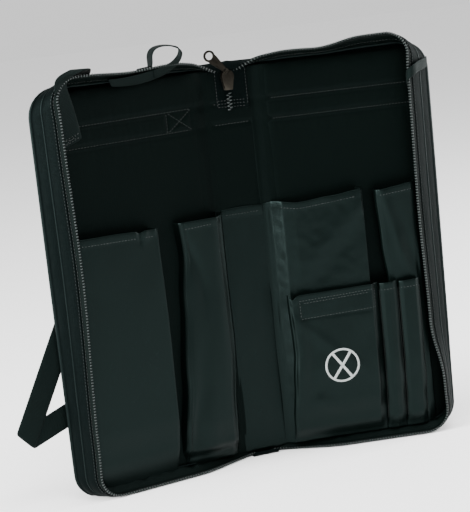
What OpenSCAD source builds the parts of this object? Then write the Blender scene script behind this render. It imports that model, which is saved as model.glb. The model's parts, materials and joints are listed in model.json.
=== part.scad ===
// Folding stick bag: two padded halves joined by a soft spine, closed by a zip around the rims.
// Origin: middle of the spine's lower end. +X to the right, -Y towards the open side, +Z up.

/* [Halves] */
// Height of each half
half_h = 450; // [430:5:470]
// Width of each half, from the fold line to the outer edge
half_w = 200; // [194:1:206]
// Radius of the outer corners
corner_r = 28; // [24:1:32]
// Angle of each half from lying flat open
open_angle = 10; // [0:1:12]

/* [Rims] */
// Depth of the side walls, from the back of the cover to the zip tape's edge
rim_depth = 27; // [25:0.5:27]
// How far the side wall leans in over its depth
side_lean = 18; // [12:1:18]
// How far the top wall flares up over its depth
top_flare = 12; // [8:1:14]

/* [Spine] */
// Distance between the two fold lines
spine_w = 60; // [60:0.5:62]

/* [Padding] */
// Thickness of the cover cloth
cover_t = 1.2; // [1:0.1:1.2]
// Level of the lining's back face, above the back of the cover
lining_n = 6.9; // [6.8:0.1:7]
// Thickness of the lining cloth
lining_t = 1.1; // [0.9:0.1:1.1]

/* [Pockets] */
// Height of the hem of the stick pockets
pocket_top = 286; // [270:2:290]
// Height of the hem of the front and pen pockets
front_top = 182; // [170:2:190]
// Level of the stick pockets' outer face
pocket_n = 24; // [22:0.5:24]
// Level of the front pocket's outer face
front_n = 33.5; // [33:0.1:33.5]
// Level of the pen pockets' outer face
pen_n = 31.5; // [31:0.1:31.6]

/* [Straps] */
// Width of the shoulder strap webbing
strap_w = 25; // [22:1:26]
// Thickness of the webbing
web_t = 1.3; // [1.1:0.1:1.3]
// Radius of the hand loop's arch
handle_r = 17; // [15:0.5:19]

/* [Hidden] */

cloth = "#14201f";
webbing = "#101615";
metal = "#4d4a44";
fine = 48;
gap = 0.15;

fold_x = spine_w / 2;
pad_u = 6.8;                       // padding starts this far from the fold line
wall_u = 34;                       // the rim walls start this far from the fold line
gusset_f = 0.62;                   // the outer wall cloth ends at this share of the depth
tape_f = 0.55;                     // the zip tape starts at this share of the depth
coil_f = 0.975;                    // and the coil stands on its edge
coil_top_f = 1.045;
arc_steps = 8;
face_back = lining_n + lining_t + gap;
front_back = pocket_n + gap;
pocket_foot = 14;                  // level of a stick pocket's face at its foot
band_lo = 385;
band_hi = 410;
pull_lean = 44;                    // the puller's lean to the left
pull_z = 443;
pull_x = -2;
pull_n = 15.6;
ring_u = 18;                       // the rings' hinge bars stand here
ring_n = -5.2;
ring_wire = 1.6;
ring_reach = 17;
ring_half = 15;
upper_z = 426;
lower_z = 147;
strap_n = -8.5;                    // back face of the strap's outer layer
strap_fold = [[261, 88], [242, 67]]; // ends of the strap's folded edge
long_run = 28;                     // the long run's angle from upright
short_run = 19;                    // the short run's rise towards the spine

// ---- frames -------------------------------------------------------------------------------
module right_half() {
    translate([fold_x, 0, 0]) rotate([0, 0, -open_angle]) children();
}
module left_half() {
    translate([-fold_x, 0, 0]) rotate([0, 0, open_angle]) mirror([1, 0, 0]) children();
}
// A plate in the plane of a half: outline in (u, z), from level n to n + t
module level(n, t) {
    translate([0, -n, 0]) rotate([90, 0, 0]) linear_extrude(t) children();
}
// A profile given in (-n, z), run along u from a to b
module along_u(a, b) {
    translate([a, 0, 0]) rotate([90, 0, 90]) linear_extrude(b - a) children();
}
// A profile given in (u, -n), run along z from a to b
module along_z(a, b) {
    translate([0, 0, a]) linear_extrude(b - a) children();
}

// ---- rim walls ----------------------------------------------------------------------------
// One side of a half's outline, from the spine at the bottom round to the spine at the top.
// Each point is [u, z, outward u, outward z, share of the full depth].
function rim_line(w, lo, hi, r) = concat(
    [for (k = [0:3]) [wall_u + 12 * k, lo, 0, -1, [0.74, 0.9, 0.98, 1][k]]],
    [for (k = [0:2]) [85 + 28 * k, lo, 0, -1, 1]],
    [for (k = [0:arc_steps]) let (a = -90 + 90 * k / arc_steps)
        [w - r + r * cos(a), lo + r + r * sin(a), cos(a), sin(a), 1]],
    [for (k = [1:5]) [w, lo + r + (hi - lo - 2 * r) * k / 6, 1, 0, 1]],
    [for (k = [0:arc_steps]) let (a = 90 * k / arc_steps)
        [w - r + r * cos(a), hi - r + r * sin(a), cos(a), sin(a), 1]],
    [for (k = [2:-1:0]) [85 + 28 * k, hi, 0, 1, 1]],
    [for (k = [3:-1:0]) [wall_u + 12 * k, hi, 0, 1, [0.74, 0.9, 0.98, 1][k]]]
);
base_line = rim_line(half_w, 0, half_h, corner_r);
edge_line = rim_line(half_w - side_lean, 0, half_h + top_flare, corner_r - 6);

// The point of station i at share f of the depth, moved in by off
function wall_point(i, f, off) = let (
    b = base_line[i],
    e = edge_line[i],
    s = f * b[4],
    p = b + (e - b) * s
) [p[0] - off * b[2], -s * rim_depth, p[1] - off * b[3]];

// A wall layer between shares a and b of the depth, from off to off + t inwards
module wall_layer(a, b, off, t) {
    count = len(base_line);
    corners = [for (i = [0:count - 1])
        each [wall_point(i, a, off), wall_point(i, b, off),
              wall_point(i, b, off + t), wall_point(i, a, off + t)]];
    sides = [for (i = [0:count - 2], k = [0:3])
        [4 * i + k, 4 * i + (k + 1) % 4, 4 * i + 4 + (k + 1) % 4, 4 * i + 4 + k]];
    polyhedron(corners, concat(sides, [[3, 2, 1, 0]],
        [[for (k = [0:3]) 4 * (count - 1) + k]]));
}

// Outline of a half's flat layers: square at the spine, round at the outer corners
module panel(start, inset, r) {
    w = half_w - inset;
    difference() {
        translate([start, inset]) square([w - start, half_h - 2 * inset]);
        for (z = [inset, half_h - inset]) translate([w, z]) rotate(z > 100 ? 180 : 90)
            difference() {
                translate([-1, -1]) square(r + 1);
                translate([r, r]) circle(r, $fn = fine);
            }
    }
}

// ---- pockets ------------------------------------------------------------------------------
// A pocket on the face at level back, narrow at its foot, open at the top. At its foot the face
// behind it stands at level back_foot.
module pocket(u0, u1, back_foot, back, foot_n, face_n, z1) {
    z0 = 8;
    swell = 60;
    t = 1.2;
    difference() {
        along_u(u0, u1) polygon([[-back_foot, z0], [-foot_n, z0], [-face_n, z0 + swell],
            [-face_n, z1], [-back, z1], [-back, z0 + swell]]);
        along_u(u0 + t, u1 - t) polygon([[-back_foot + 1, z0 + t], [-foot_n + t, z0 + t],
            [-face_n + t, z0 + swell], [-face_n + t, z1 + 1], [-back + 1, z1 + 1],
            [-back + 1, z0 + swell]]);
    }
}
module lining_pocket(u0, u1) {
    color(cloth) pocket(u0, u1, face_back, face_back, pocket_foot, pocket_n, pocket_top);
}
module face_pocket(u0, u1, face_n) {
    color(cloth) right_half()
        pocket(u0, u1, pocket_foot + gap, front_back, pocket_foot + 7, face_n, front_top);
}

// ---- both halves --------------------------------------------------------------------------
module cover() {
    color(cloth) level(0, cover_t) panel(1.5, 0, corner_r);
}
module foam() {
    color("dimgray") level(cover_t + 0.1, lining_n - cover_t - 0.2) panel(pad_u, 6.2, 21);
}
module lining() {
    color(cloth) level(lining_n, lining_t) panel(pad_u - 0.3, 7.2, 20);
}
module gusset() {
    color(cloth) wall_layer((cover_t + 0.1) / rim_depth, gusset_f, 0, 1.2);
}
module gusset_lining() {
    color(cloth) wall_layer(0.32, tape_f - 0.01, 1.3, 0.8);
}
module piping() {
    color(webbing) wall_layer(-0.085, -0.004, 0, 2.2);
}
module zip_tape() {
    color(webbing) wall_layer(tape_f, coil_f - 0.005, 1.3, 0.8);
}
module zip_coil() {
    color("dimgray") wall_layer(coil_f, coil_top_f, 0.4, 2.5);
}
module half_band() {
    color(webbing) level(-1.4, 1.3) translate([4, band_lo]) square([half_w - 12, band_hi - band_lo]);
}

// Webbing wrapped over the top rim, sewn on outside and inside
module left_corner_strap() {
    color(webbing) left_half() along_u(146, 168) polygon([
        [-2, half_h + 3.2], [-27, half_h + 15.6], [-29.6, half_h + 14.4], [-29.6, half_h + 5.2],
        [-14, half_h - 7], [-13.4, half_h - 5.8], [-28.4, half_h + 5.8], [-28.4, half_h + 13.6],
        [-27, half_h + 14.3], [-2.6, half_h + 2.2]]);
}
// Narrow webbing wrapped over the side rim below the top corner
module right_corner_strap() {
    w = half_w - side_lean;
    low_n = 14.4;
    low_u = half_w - side_lean * low_n / rim_depth - 2.5;
    color(webbing) right_half() along_z(412, 424) polygon([
        [half_w + 0.6, -2], [w + 2.6, -27.4], [w + 1.4, -29.6], [w - 5.8, -29.6],
        [low_u - 1.2, -low_n + 0.4], [low_u, -low_n], [w - 4.3, -28.4], [w + 0.6, -28.4],
        [w + 1.2, -27.2], [half_w - 0.6, -2]]);
}

// ---- spine --------------------------------------------------------------------------------
module spine_plate(half, n, t, lo, hi) {
    level(n, t) translate([-half, lo]) square([2 * half, hi - lo]);
}
module spine_cover() {
    color(cloth) spine_plate(27, 0, cover_t, 1.3, half_h);
}
module spine_foam() {
    color("dimgray") spine_plate(25.5, cover_t + 0.1, 2.2, 5, half_h - 5);
}
module spine_lining() {
    color(cloth) spine_plate(26.5, 3.6, 1, 4, half_h - 4);
}
module spine_pocket_panel() {
    color(cloth) spine_plate(25.5, 4.8, 1.2, 6, pocket_top);
}
module spine_band() {
    color(webbing) spine_plate(27, -1.4, 1.3, band_lo, band_hi);
}
// Cloth folded over the lower end of the spine: the bag also stands on this
module zip_bottom_tab() {
    color(cloth) along_u(-16, 16) polygon([[2.6, 0], [2.6, 9], [1.4, 9], [1.4, 1.2],
        [-11, 1.2], [-11, 5], [-12, 5], [-12, 0]]);
}
module zip_top_tab() {
    color(cloth) spine_plate(20, 4.8, 1.2, 402, half_h - 1);
}
module closed_chain() {
    color("dimgray") spine_plate(3, 8.6, 2.4, 397, pull_z - 17);
    color("dimgray") spine_plate(5, 6.1, 2.4, 397, pull_z - 28.5);
}
// The open ends of the zip, from above the slider out towards the top rims
module chain_end() {
    color("dimgray") level(7.2, 2.2) translate([0, pull_z]) polygon([[3.4, 4], [6, 4.8],
        [10, 7.4], [20, 10.6], [20, 13], [9, 10], [4.6, 7.2], [3.4, 6]]);
}

// ---- slider and puller --------------------------------------------------------------------
module shield() {
    translate([0, pull_z - 6]) circle(7, $fn = fine);
    polygon([[-7, pull_z - 6], [7, pull_z - 6], [4.2, pull_z - 21], [-4.2, pull_z - 21]]);
}
module at_pull() {
    translate([pull_x, -pull_n, pull_z]) rotate([0, -pull_lean, 0]) children();
}
module zip_slider() {
    color(metal) {
        level(6.4, 1.5) shield();
        level(11.6, 1.5) shield();
        level(7.8, 3.9) translate([-1.6, pull_z - 8]) square([3.2, 8]);
        for (s = [-1, 1]) level(7.8, 1.2) translate([s * 4.9 - 0.7, pull_z - 16]) square([1.4, 9]);
        for (s = [-1, 1]) level(10.6, 1.2) translate([s * 4.9 - 0.7, pull_z - 16]) square([1.4, 9]);
        difference() {
            union() {
                at_pull() rotate([0, 90, 0]) cylinder(h = 2, r = 2.1, center = true, $fn = fine);
                at_pull() translate([-1, 0, -2.1]) cube([2, 3.4, 4.2]);
            }
            at_pull() rotate([0, 90, 0]) cylinder(h = 4, r = 1.1, center = true, $fn = fine);
        }
    }
}
module zip_puller() {
    eye = 26;
    color(metal) at_pull() {
        rotate([0, 90, 0]) cylinder(h = 5.6, r = 0.8, center = true, $fn = fine);
        for (s = [-1, 1]) translate([s * 2.05 - 0.65, 0, 0]) {
            rotate([0, 90, 0]) cylinder(h = 1.3, r = 1.9, $fn = fine);
            translate([0, -0.8, 0]) cube([1.3, 1.6, 6]);
        }
        difference() {
            rotate([90, 0, 0]) linear_extrude(1.6, center = true) union() {
                polygon([[-2.7, 3.4], [2.7, 3.4], [5.4, 20], [-5.4, 20]]);
                translate([0, eye]) circle(6.4, $fn = fine);
                translate([-5.4, 20]) square([10.8, 3]);
            }
            translate([0, 0, eye]) rotate([90, 0, 0])
                cylinder(h = 4, r = 4.1, center = true, $fn = fine);
        }
    }
}

// ---- handle -------------------------------------------------------------------------------
handle_u = 60;
handle_n = 14;
handle_foot = 4.6;
module on_top_wall() {
    translate([handle_u, -handle_n, half_h + top_flare * handle_n / rim_depth])
        rotate([-atan(top_flare / rim_depth), 0, 0]) children();
}
module handle_anchors() {
    color(webbing) left_half() on_top_wall() for (s = [-1, 1]) {
        translate([s > 0 ? handle_r - 1.9 : -handle_r - 10.1, -10, 0.3]) cube([12, 20, web_t]);
        translate([s * (handle_r - 1.2) - 0.7, -3, 0.3]) cube([1.4, 6, 3.2]);
    }
}
module handle_loop() {
    color(webbing) left_half() on_top_wall() rotate([90, 0, 0])
        linear_extrude(20, center = true) difference() {
            translate([0, 6]) circle(handle_r, $fn = 96);
            translate([0, 6]) circle(handle_r - web_t, $fn = 96);
            translate([-25, -25 + handle_foot]) square([50, 25]);
        }
}

// ---- shoulder strap -----------------------------------------------------------------------
module ring_at(z) {
    color(metal) left_half() translate([ring_u, -ring_n, z]) {
        for (x = [0, ring_reach]) translate([x, 0, -ring_half])
            cylinder(h = 2 * ring_half, r = ring_wire, $fn = fine);
        for (s = [-1, 1]) translate([0, 0, s * ring_half]) {
            rotate([0, 90, 0]) cylinder(h = ring_reach, r = ring_wire, $fn = fine);
            sphere(ring_wire, $fn = fine);
            translate([ring_reach, 0, 0]) sphere(ring_wire, $fn = fine);
        }
    }
}
// Webbing round the ring's inner bar, sewn to the cover
module ring_tab(z) {
    color(webbing) left_half() along_z(z - 12, z + 12) difference() {
        union() {
            translate([ring_u, -ring_n]) circle(3.1, $fn = fine);
            translate([ring_u - 9, 1.6]) square([9, 1.5 + gap]);
            translate([ring_u - 13, 0.2]) square([9, 1.4]);
        }
        translate([ring_u, -ring_n]) circle(1.9, $fn = fine);
    }
}
// Webbing round a ring's outer bar
module strap_end(z) {
    along_z(z - 12, z + 12) difference() {
        union() {
            translate([ring_u + ring_reach, -ring_n]) circle(3.3, $fn = fine);
            translate([ring_u + ring_reach, -strap_n - web_t]) square([26, web_t]);
        }
        translate([ring_u + ring_reach, -ring_n]) circle(2, $fn = fine);
    }
}
long_up = [-sin(long_run), cos(long_run)];
short_in = [-cos(short_run), sin(short_run)];
strap_top = upper_z + 12;
module shoulder_strap() {
    ends = [for (p = strap_fold) p + long_up * (strap_top - p[1]) / long_up[1]];
    ring_side = ring_u + ring_reach + 18;
    feet = [for (p = strap_fold) p + short_in * (ring_side - p[0]) / short_in[0]];
    color(webbing) left_half() {
        strap_end(upper_z);
        strap_end(lower_z);
        // short level piece from the upper ring, under the top of the long run
        level(strap_n, web_t) translate([ring_side, upper_z - 12]) square([ends[0][0] - ring_side, 24]);
        // long slanting run, one layer nearer the bag
        level(strap_n + web_t, web_t) polygon([strap_fold[1], strap_fold[0], ends[0], ends[1]]);
        // the run that comes back from the fold to the lower ring
        level(strap_n, web_t) polygon([strap_fold[1], strap_fold[0], feet[0], feet[1]]);
    }
}
// Tri-glide: a frame with the middle bar on one side of the webbing and the end bars on the other
module strap_adjuster() {
    along = 260;
    mid = (strap_fold[0] + strap_fold[1]) / 2 + long_up * along;
    color("#202424") left_half()
        translate([mid[0], -strap_n - web_t, mid[1]]) rotate([0, -long_run, 0]) {
            for (s = [-1, 1]) translate([s * 15.6 - 1.4, -3.2, -11]) cube([2.8, 6, 22]);
            for (s = [-1, 1]) translate([-15.6, 0.3, s * 9 - 1.6]) cube([31.2, 2.5, 3.2]);
            translate([-15.6, -3.2, -2]) cube([31.2, 1.6, 4]);
        }
}

// ---- right half's extra pieces ------------------------------------------------------------
module strip(n, lo, hi) {
    right_half() level(n, 0.9) translate([22, lo]) square([88, hi - lo]);
}
emblem_at = [67, 98];
// Two crossed sticks in a ring, printed on the front pocket
module emblem_print() {
    color("silver") right_half() level(front_n + 0.05, 0.3) translate(emblem_at) {
        difference() {
            circle(20, $fn = fine);
            circle(17.6, $fn = fine);
        }
        for (s = [-1, 1]) rotate(35 * s) square([3, 36], center = true);
    }
}

spine_cover();
spine_foam();
spine_lining();
spine_pocket_panel();
spine_band();
zip_bottom_tab();
zip_top_tab();
closed_chain();
mirror([1, 0, 0]) chain_end();  // left_chain_end
chain_end();  // right_chain_end
left_half() cover();  // left_cover
left_half() foam();  // left_foam
left_half() lining();  // left_lining
left_half() gusset();  // left_gusset
left_half() gusset_lining();  // left_gusset_lining
left_half() piping();  // left_piping
left_half() zip_tape();  // left_zip_tape
left_half() zip_coil();  // left_zip_coil
left_half() half_band();  // left_band
left_corner_strap();
left_half() lining_pocket(82, 180);  // wide_stick_pocket
left_half() lining_pocket(8, 55);  // mallet_pocket
handle_anchors();
ring_tab(upper_z);  // upper_ring_tab
ring_tab(lower_z);  // lower_ring_tab
right_half() cover();  // right_cover
right_half() foam();  // right_foam
right_half() lining();  // right_lining
right_half() gusset();  // right_gusset
right_half() gusset_lining();  // right_gusset_lining
right_half() piping();  // right_piping
right_half() zip_tape();  // right_zip_tape
right_half() zip_coil();  // right_zip_coil
right_half() half_band();  // right_band
right_corner_strap();
right_half() lining_pocket(8, 111);  // rod_pocket
right_half() lining_pocket(127, 174);  // right_stick_pocket
face_pocket(12, 118, front_n);  // front_pocket
face_pocket(119, 141, pen_n);  // inner_pen_pocket
face_pocket(142, 164, pen_n);  // outer_pen_pocket
color("#0c1110") strip(front_back, 158, 180);  // hook_strip
color("#0c1110") strip(front_n - 2.3, 158, 180);  // loop_strip
emblem_print();
zip_slider();
zip_puller();
handle_loop();
ring_at(upper_z);  // upper_ring
ring_at(lower_z);  // lower_ring
shoulder_strap();
strap_adjuster();
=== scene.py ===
# Folding stick bag in black nylon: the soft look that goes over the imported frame.
# Sizes are in millimetres in a half's own frame: u outward from the fold, n up from the back
# of the cover towards the open side, z up the spine.
import bisect
import json
import math

import bmesh
import bpy
from bpy.props import FloatProperty, FloatVectorProperty, PointerProperty
from mathutils import Matrix, Vector, noise
from mathutils.bvhtree import BVHTree


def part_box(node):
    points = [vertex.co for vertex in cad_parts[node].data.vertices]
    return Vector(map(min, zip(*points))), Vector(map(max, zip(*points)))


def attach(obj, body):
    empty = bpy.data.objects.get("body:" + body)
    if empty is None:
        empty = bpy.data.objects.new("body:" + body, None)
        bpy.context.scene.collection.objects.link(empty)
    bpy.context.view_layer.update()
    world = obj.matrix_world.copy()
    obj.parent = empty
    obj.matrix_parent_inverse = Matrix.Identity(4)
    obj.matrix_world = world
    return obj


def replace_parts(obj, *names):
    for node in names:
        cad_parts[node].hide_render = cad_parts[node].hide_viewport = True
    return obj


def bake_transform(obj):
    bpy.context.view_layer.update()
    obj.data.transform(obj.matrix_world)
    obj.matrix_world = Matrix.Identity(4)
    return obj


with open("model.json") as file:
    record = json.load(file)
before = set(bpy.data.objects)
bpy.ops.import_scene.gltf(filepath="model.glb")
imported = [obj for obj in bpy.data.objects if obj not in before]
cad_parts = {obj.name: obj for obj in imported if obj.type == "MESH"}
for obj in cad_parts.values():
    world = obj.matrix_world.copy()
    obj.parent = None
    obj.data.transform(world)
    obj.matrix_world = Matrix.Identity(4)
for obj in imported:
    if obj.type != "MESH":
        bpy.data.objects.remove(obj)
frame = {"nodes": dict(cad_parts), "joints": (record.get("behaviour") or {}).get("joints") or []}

bl_info = {
    "name": "Folding Stick Bag",
    "version": (1, 0, 0),
    "blender": (4, 5, 0),
    "location": "View3D > Sidebar > Stick Bag",
    "description": "Builds the cloth, padding, zip and straps of a folding stick bag",
    "category": "Object",
}

MM = 0.001
LEFT = -1
SPINE = 0
RIGHT = 1
HALVES = {LEFT: "left", RIGHT: "right"}
JOINTS = {j["name"]: j for j in frame["joints"]}
OPEN = math.radians(-JOINTS["left_fold"]["range_deg"][0])
FOLD_X = abs(JOINTS["left_fold"]["pos_m"][0]) / MM
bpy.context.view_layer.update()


def linear(code):
    """An sRGB hex value as linear red, green and blue."""
    values = [int(code[i:i + 2], 16) / 255 for i in (1, 3, 5)]
    return tuple(v / 12.92 if v <= 0.04045 else ((v + 0.055) / 1.055) ** 2.4 for v in values)


def length(name, text, value):
    return FloatProperty(name=name, description=text, default=value * MM, unit="LENGTH",
                         subtype="DISTANCE", precision=4)


def colour(name, text, code):
    return FloatVectorProperty(name=name, description=text, default=linear(code), size=3,
                               subtype="COLOR", min=0, max=1)


class BagSizes(bpy.types.PropertyGroup):
    """Sizes that a maker would change."""
    half_h: length("Half height", "Height of each half", 450)
    half_w: length("Half width", "From the fold to the outer edge of a half", 200)
    corner: length("Corner radius", "Radius of the outer corners", 28)
    depth: length("Rim depth", "Depth of the walls up to the zip tape's edge", 27)
    tooth: length("Tooth pitch", "Distance between teeth of the zip", 3.2)
    stitch: length("Stitch pitch", "Distance from one stitch to the next", 3.6)
    hem: length("Hem", "Height of a pocket's folded hem", 9)


class BagColours(bpy.types.PropertyGroup):
    """Colours of the cloths, the webbing and the metal."""
    cover: colour("Cover", "Woven nylon of the outside", "#030606")
    lining: colour("Lining", "Quilted lining", "#020504")
    pocket: colour("Pockets", "Smooth nylon of the pockets", "#030706")
    webbing: colour("Webbing", "Ribbed webbing", "#050a09")
    tape: colour("Zip tape", "Herringbone tape", "#040706")
    coil: colour("Coil", "Nylon teeth", "#1f2625")
    metal: colour("Slider", "Antique plated zinc", "#211f1b")
    wire: colour("Rings", "Plated steel wire", "#8d8c86")
    plastic: colour("Adjuster", "Moulded acetal", "#121515")
    printing: colour("Print", "Silver-grey screen print", "#8d9391")
    thread: colour("Thread", "Bonded sewing thread", "#0a100f")
    floor: colour("Floor", "Studio floor", "#ffffff")


def sizes():
    return bpy.context.scene.bag_sizes


def colours():
    return bpy.context.scene.bag_colours


def size(key):
    """A size in millimetres."""
    return getattr(sizes(), key) / MM


# ---- places -----------------------------------------------------------------------------------
def at(side, u, n, z):
    """A place in a half's own frame, or the spine's, as a point in metres."""
    if side == SPINE:
        return Vector((u, -n, z)) * MM
    x = FOLD_X + u * math.cos(OPEN) - n * math.sin(OPEN)
    y = -u * math.sin(OPEN) - n * math.cos(OPEN)
    return Vector((side * x, y, z)) * MM


def facing(side):
    """The direction in which a half's inside faces."""
    return (at(side, 0, 1, 0) - at(side, 0, 0, 0)).normalized()


def ease(t):
    t = min(1.0, max(0.0, t))
    return t * t * (3 - 2 * t)


def mix(a, b, t):
    return a + (b - a) * t


def hump(x, centre, width):
    return math.exp(-((x - centre) / width) ** 2)


def table(x, rows):
    """Reads a smooth curve given as rows of (x, value)."""
    if x <= rows[0][0]:
        return rows[0][1]
    for (x0, a), (x1, b) in zip(rows, rows[1:]):
        if x <= x1:
            return mix(a, b, ease((x - x0) / (x1 - x0)))
    return rows[-1][1]


def polyline(points, q):
    """The point at share q of a line given as rows of (share, value, value)."""
    for first, second in zip(points, points[1:]):
        if q <= second[0]:
            t = (q - first[0]) / (second[0] - first[0])
            return [mix(a, b, t) for a, b in zip(first[1:], second[1:])]
    return list(points[-1][1:])


def crumple(p, cell, seed=0.0):
    """Smooth irregular value from about -1 to 1 that repeats nowhere on the bag."""
    return noise.noise(Vector(p) / cell + Vector((seed, seed * 1.7, -seed)))


def cell_counts(points, step):
    """How many cells about step long go between each point and the next."""
    return [max(2, round((b - a).length / step)) for a, b in zip(points, points[1:])]


def smooth_line(points, counts):
    """A curve through points, with a number of cells between each two."""
    ends = [points[0] * 2 - points[1]] + points + [points[-1] * 2 - points[-2]]
    made = []
    for k, count in enumerate(counts):
        a, b, c, d = ends[k:k + 4]
        for step in range(count):
            t = step / count
            made.append(0.5 * (2 * b + (c - a) * t + (2 * a - 5 * b + 4 * c - d) * t * t
                               + (3 * b - a - 3 * c + d) * t ** 3))
    made.append(points[-1])
    return made


# ---- the rims -----------------------------------------------------------------------------------
START_U = -20.0
LEAN = {
    LEFT: [(20, 16), (60, 17), (250, 23), (400, 20), (440, 18)],
    RIGHT: [(20, 12), (60, 13), (130, 24), (260, 27), (400, 26), (440, 24)],
}
FLARE = {
    LEFT: [(20, 12), (100, 11), (170, 13)],
    RIGHT: [(20, 11), (80, 10), (140, 17), (170, 17)],
}


class Rim:
    """The wall round a half, from the spine at the bottom to the spine at the top."""

    def __init__(self, side):
        self.side = side
        w, h, r = size("half_w"), size("half_h"), size("corner")
        edge_r = r - 2
        low, high = table(r, LEAN[side]), table(h - r, LEAN[side])
        rows = []
        for k in range(49):
            u = mix(START_U, w - r, k / 48)
            e = mix(START_U, w - low - edge_r, k / 48)
            lift = 3.5 * ease((6 - u) / 24)
            rows.append(((u, 0.0), (e, 0.9 + lift), (0.0, -1.0), u, 0.0))
        for k in range(1, 10):
            a = math.radians(-90 + 9 * k)
            c, s = math.cos(a), math.sin(a)
            rows.append(((w - r + r * c, r + r * s),
                         (w - low - edge_r + edge_r * c, 0.9 + edge_r + edge_r * s), (c, s), w, 0.0))
        for k in range(81):
            t = k / 80
            z = mix(r, h - r, t)
            edge_z = mix(0.9 + edge_r, h + table(w, FLARE[side]) - edge_r, t)
            rows.append(((w, z), (w - table(z, LEAN[side]), edge_z), (1.0, 0.0), w, 0.0))
        for k in range(1, 10):
            a = math.radians(9 * k)
            c, s = math.cos(a), math.sin(a)
            top = h + table(w, FLARE[side])
            rows.append(((w - r + r * c, h - r + r * s),
                         (w - high - edge_r + edge_r * c, top - edge_r + edge_r * s), (c, s), w, 0.0))
        for k in range(49):
            u = mix(w - r, START_U - 6, k / 48)
            e = mix(w - high - edge_r, START_U - 6, k / 48)
            sag = 1.6 * hump(u, 105, 34) - 1.2 * hump(u, 30, 22)
            fall = 11 * ease((16 - u) / 42)
            rows.append(((u, h), (e, h + table(u, FLARE[side]) - sag), (0.0, 1.0), u, fall))
        self.rows = rows
        self.marks = [0.0]
        for k in range(1, len(rows)):
            a, b = rows[k - 1][1], rows[k][1]
            self.marks.append(self.marks[-1] + math.dist(a, b))
        self.length = self.marks[-1]

    def local(self, s, f, off=0.0):
        """(u, n, z) at s along the rim, share f of its depth and off inwards."""
        s = min(max(s, 0.0), self.length)
        k = min(max(bisect.bisect_right(self.marks, s) - 1, 0), len(self.rows) - 2)
        span = max(self.marks[k + 1] - self.marks[k], 1e-6)
        t = min(1.0, (s - self.marks[k]) / span)
        one, two = self.rows[k], self.rows[k + 1]
        base, edge, out = ([mix(a, b, t) for a, b in zip(one[i], two[i])] for i in range(3))
        u, fall = mix(one[3], two[3], t), mix(one[4], two[4], t)
        share = f * (0.30 + 0.70 * ease((u + 22) / 92))
        return (base[0] + (edge[0] - base[0]) * share - off * out[0],
                share * size("depth"),
                max(base[1] + (edge[1] - base[1]) * share - off * out[1] - fall * f, 0.15))

    def point(self, s, f, off=0.0):
        return at(self.side, *self.local(s, f, off))

    def s_of_corner(self):
        return self.marks[53], self.marks[143]


RIMS = {}


# ---- materials ------------------------------------------------------------------------------
def add(nodes, links, kind, settings=None, **inputs):
    """Adds a node, sets it up and links or fills its inputs."""
    made = nodes.new(kind)
    for key, value in (settings or {}).items():
        setattr(made, key, value)
    for key, value in inputs.items():
        target = made.inputs[int(key[1:])] if key[0] == "i" and key[1:].isdigit() else made.inputs[
            key.replace("_", " ")]
        if isinstance(value, bpy.types.NodeSocket):
            links.new(value, target)
        else:
            target.default_value = value
    return made


def blank(name, rgb, rough, metal=0.0):
    """A material with its shader ready, as (material, nodes, links, shader)."""
    made = bpy.data.materials.new(name)
    made.use_nodes = True
    nodes, links = made.node_tree.nodes, made.node_tree.links
    shader = nodes["Principled BSDF"]
    shader.inputs["Base Color"].default_value = (*rgb, 1)
    shader.inputs["Roughness"].default_value = rough
    shader.inputs["Metallic"].default_value = metal
    made.diffuse_color = (*rgb, 1)
    return made, nodes, links, shader


def shade(rgb, factor):
    return (*(min(1.0, c * factor) for c in rgb), 1)


def threads(nodes, links, source, across, along):
    """Irregular threads: noise drawn out along one direction, sizes in millimetres."""
    mapping = add(nodes, links, "ShaderNodeMapping", Vector=source, Scale=(
        1 / (across[0] * MM), 1 / (across[1] * MM), 1 / (across[2] * MM)))
    first = add(nodes, links, "ShaderNodeTexNoise", Vector=mapping.outputs[0], Scale=1.0, Detail=2.0)
    turned = add(nodes, links, "ShaderNodeMapping", Vector=source, Scale=(
        1 / (along[0] * MM), 1 / (along[1] * MM), 1 / (along[2] * MM)))
    second = add(nodes, links, "ShaderNodeTexNoise", Vector=turned.outputs[0], Scale=1.0, Detail=2.0)
    return add(nodes, links, "ShaderNodeMath", {"operation": "ADD"}, i0=first.outputs[0],
               i1=second.outputs[0]).outputs[0]


TINT = (0.66, 1.0, 0.96, 1.0)


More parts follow.
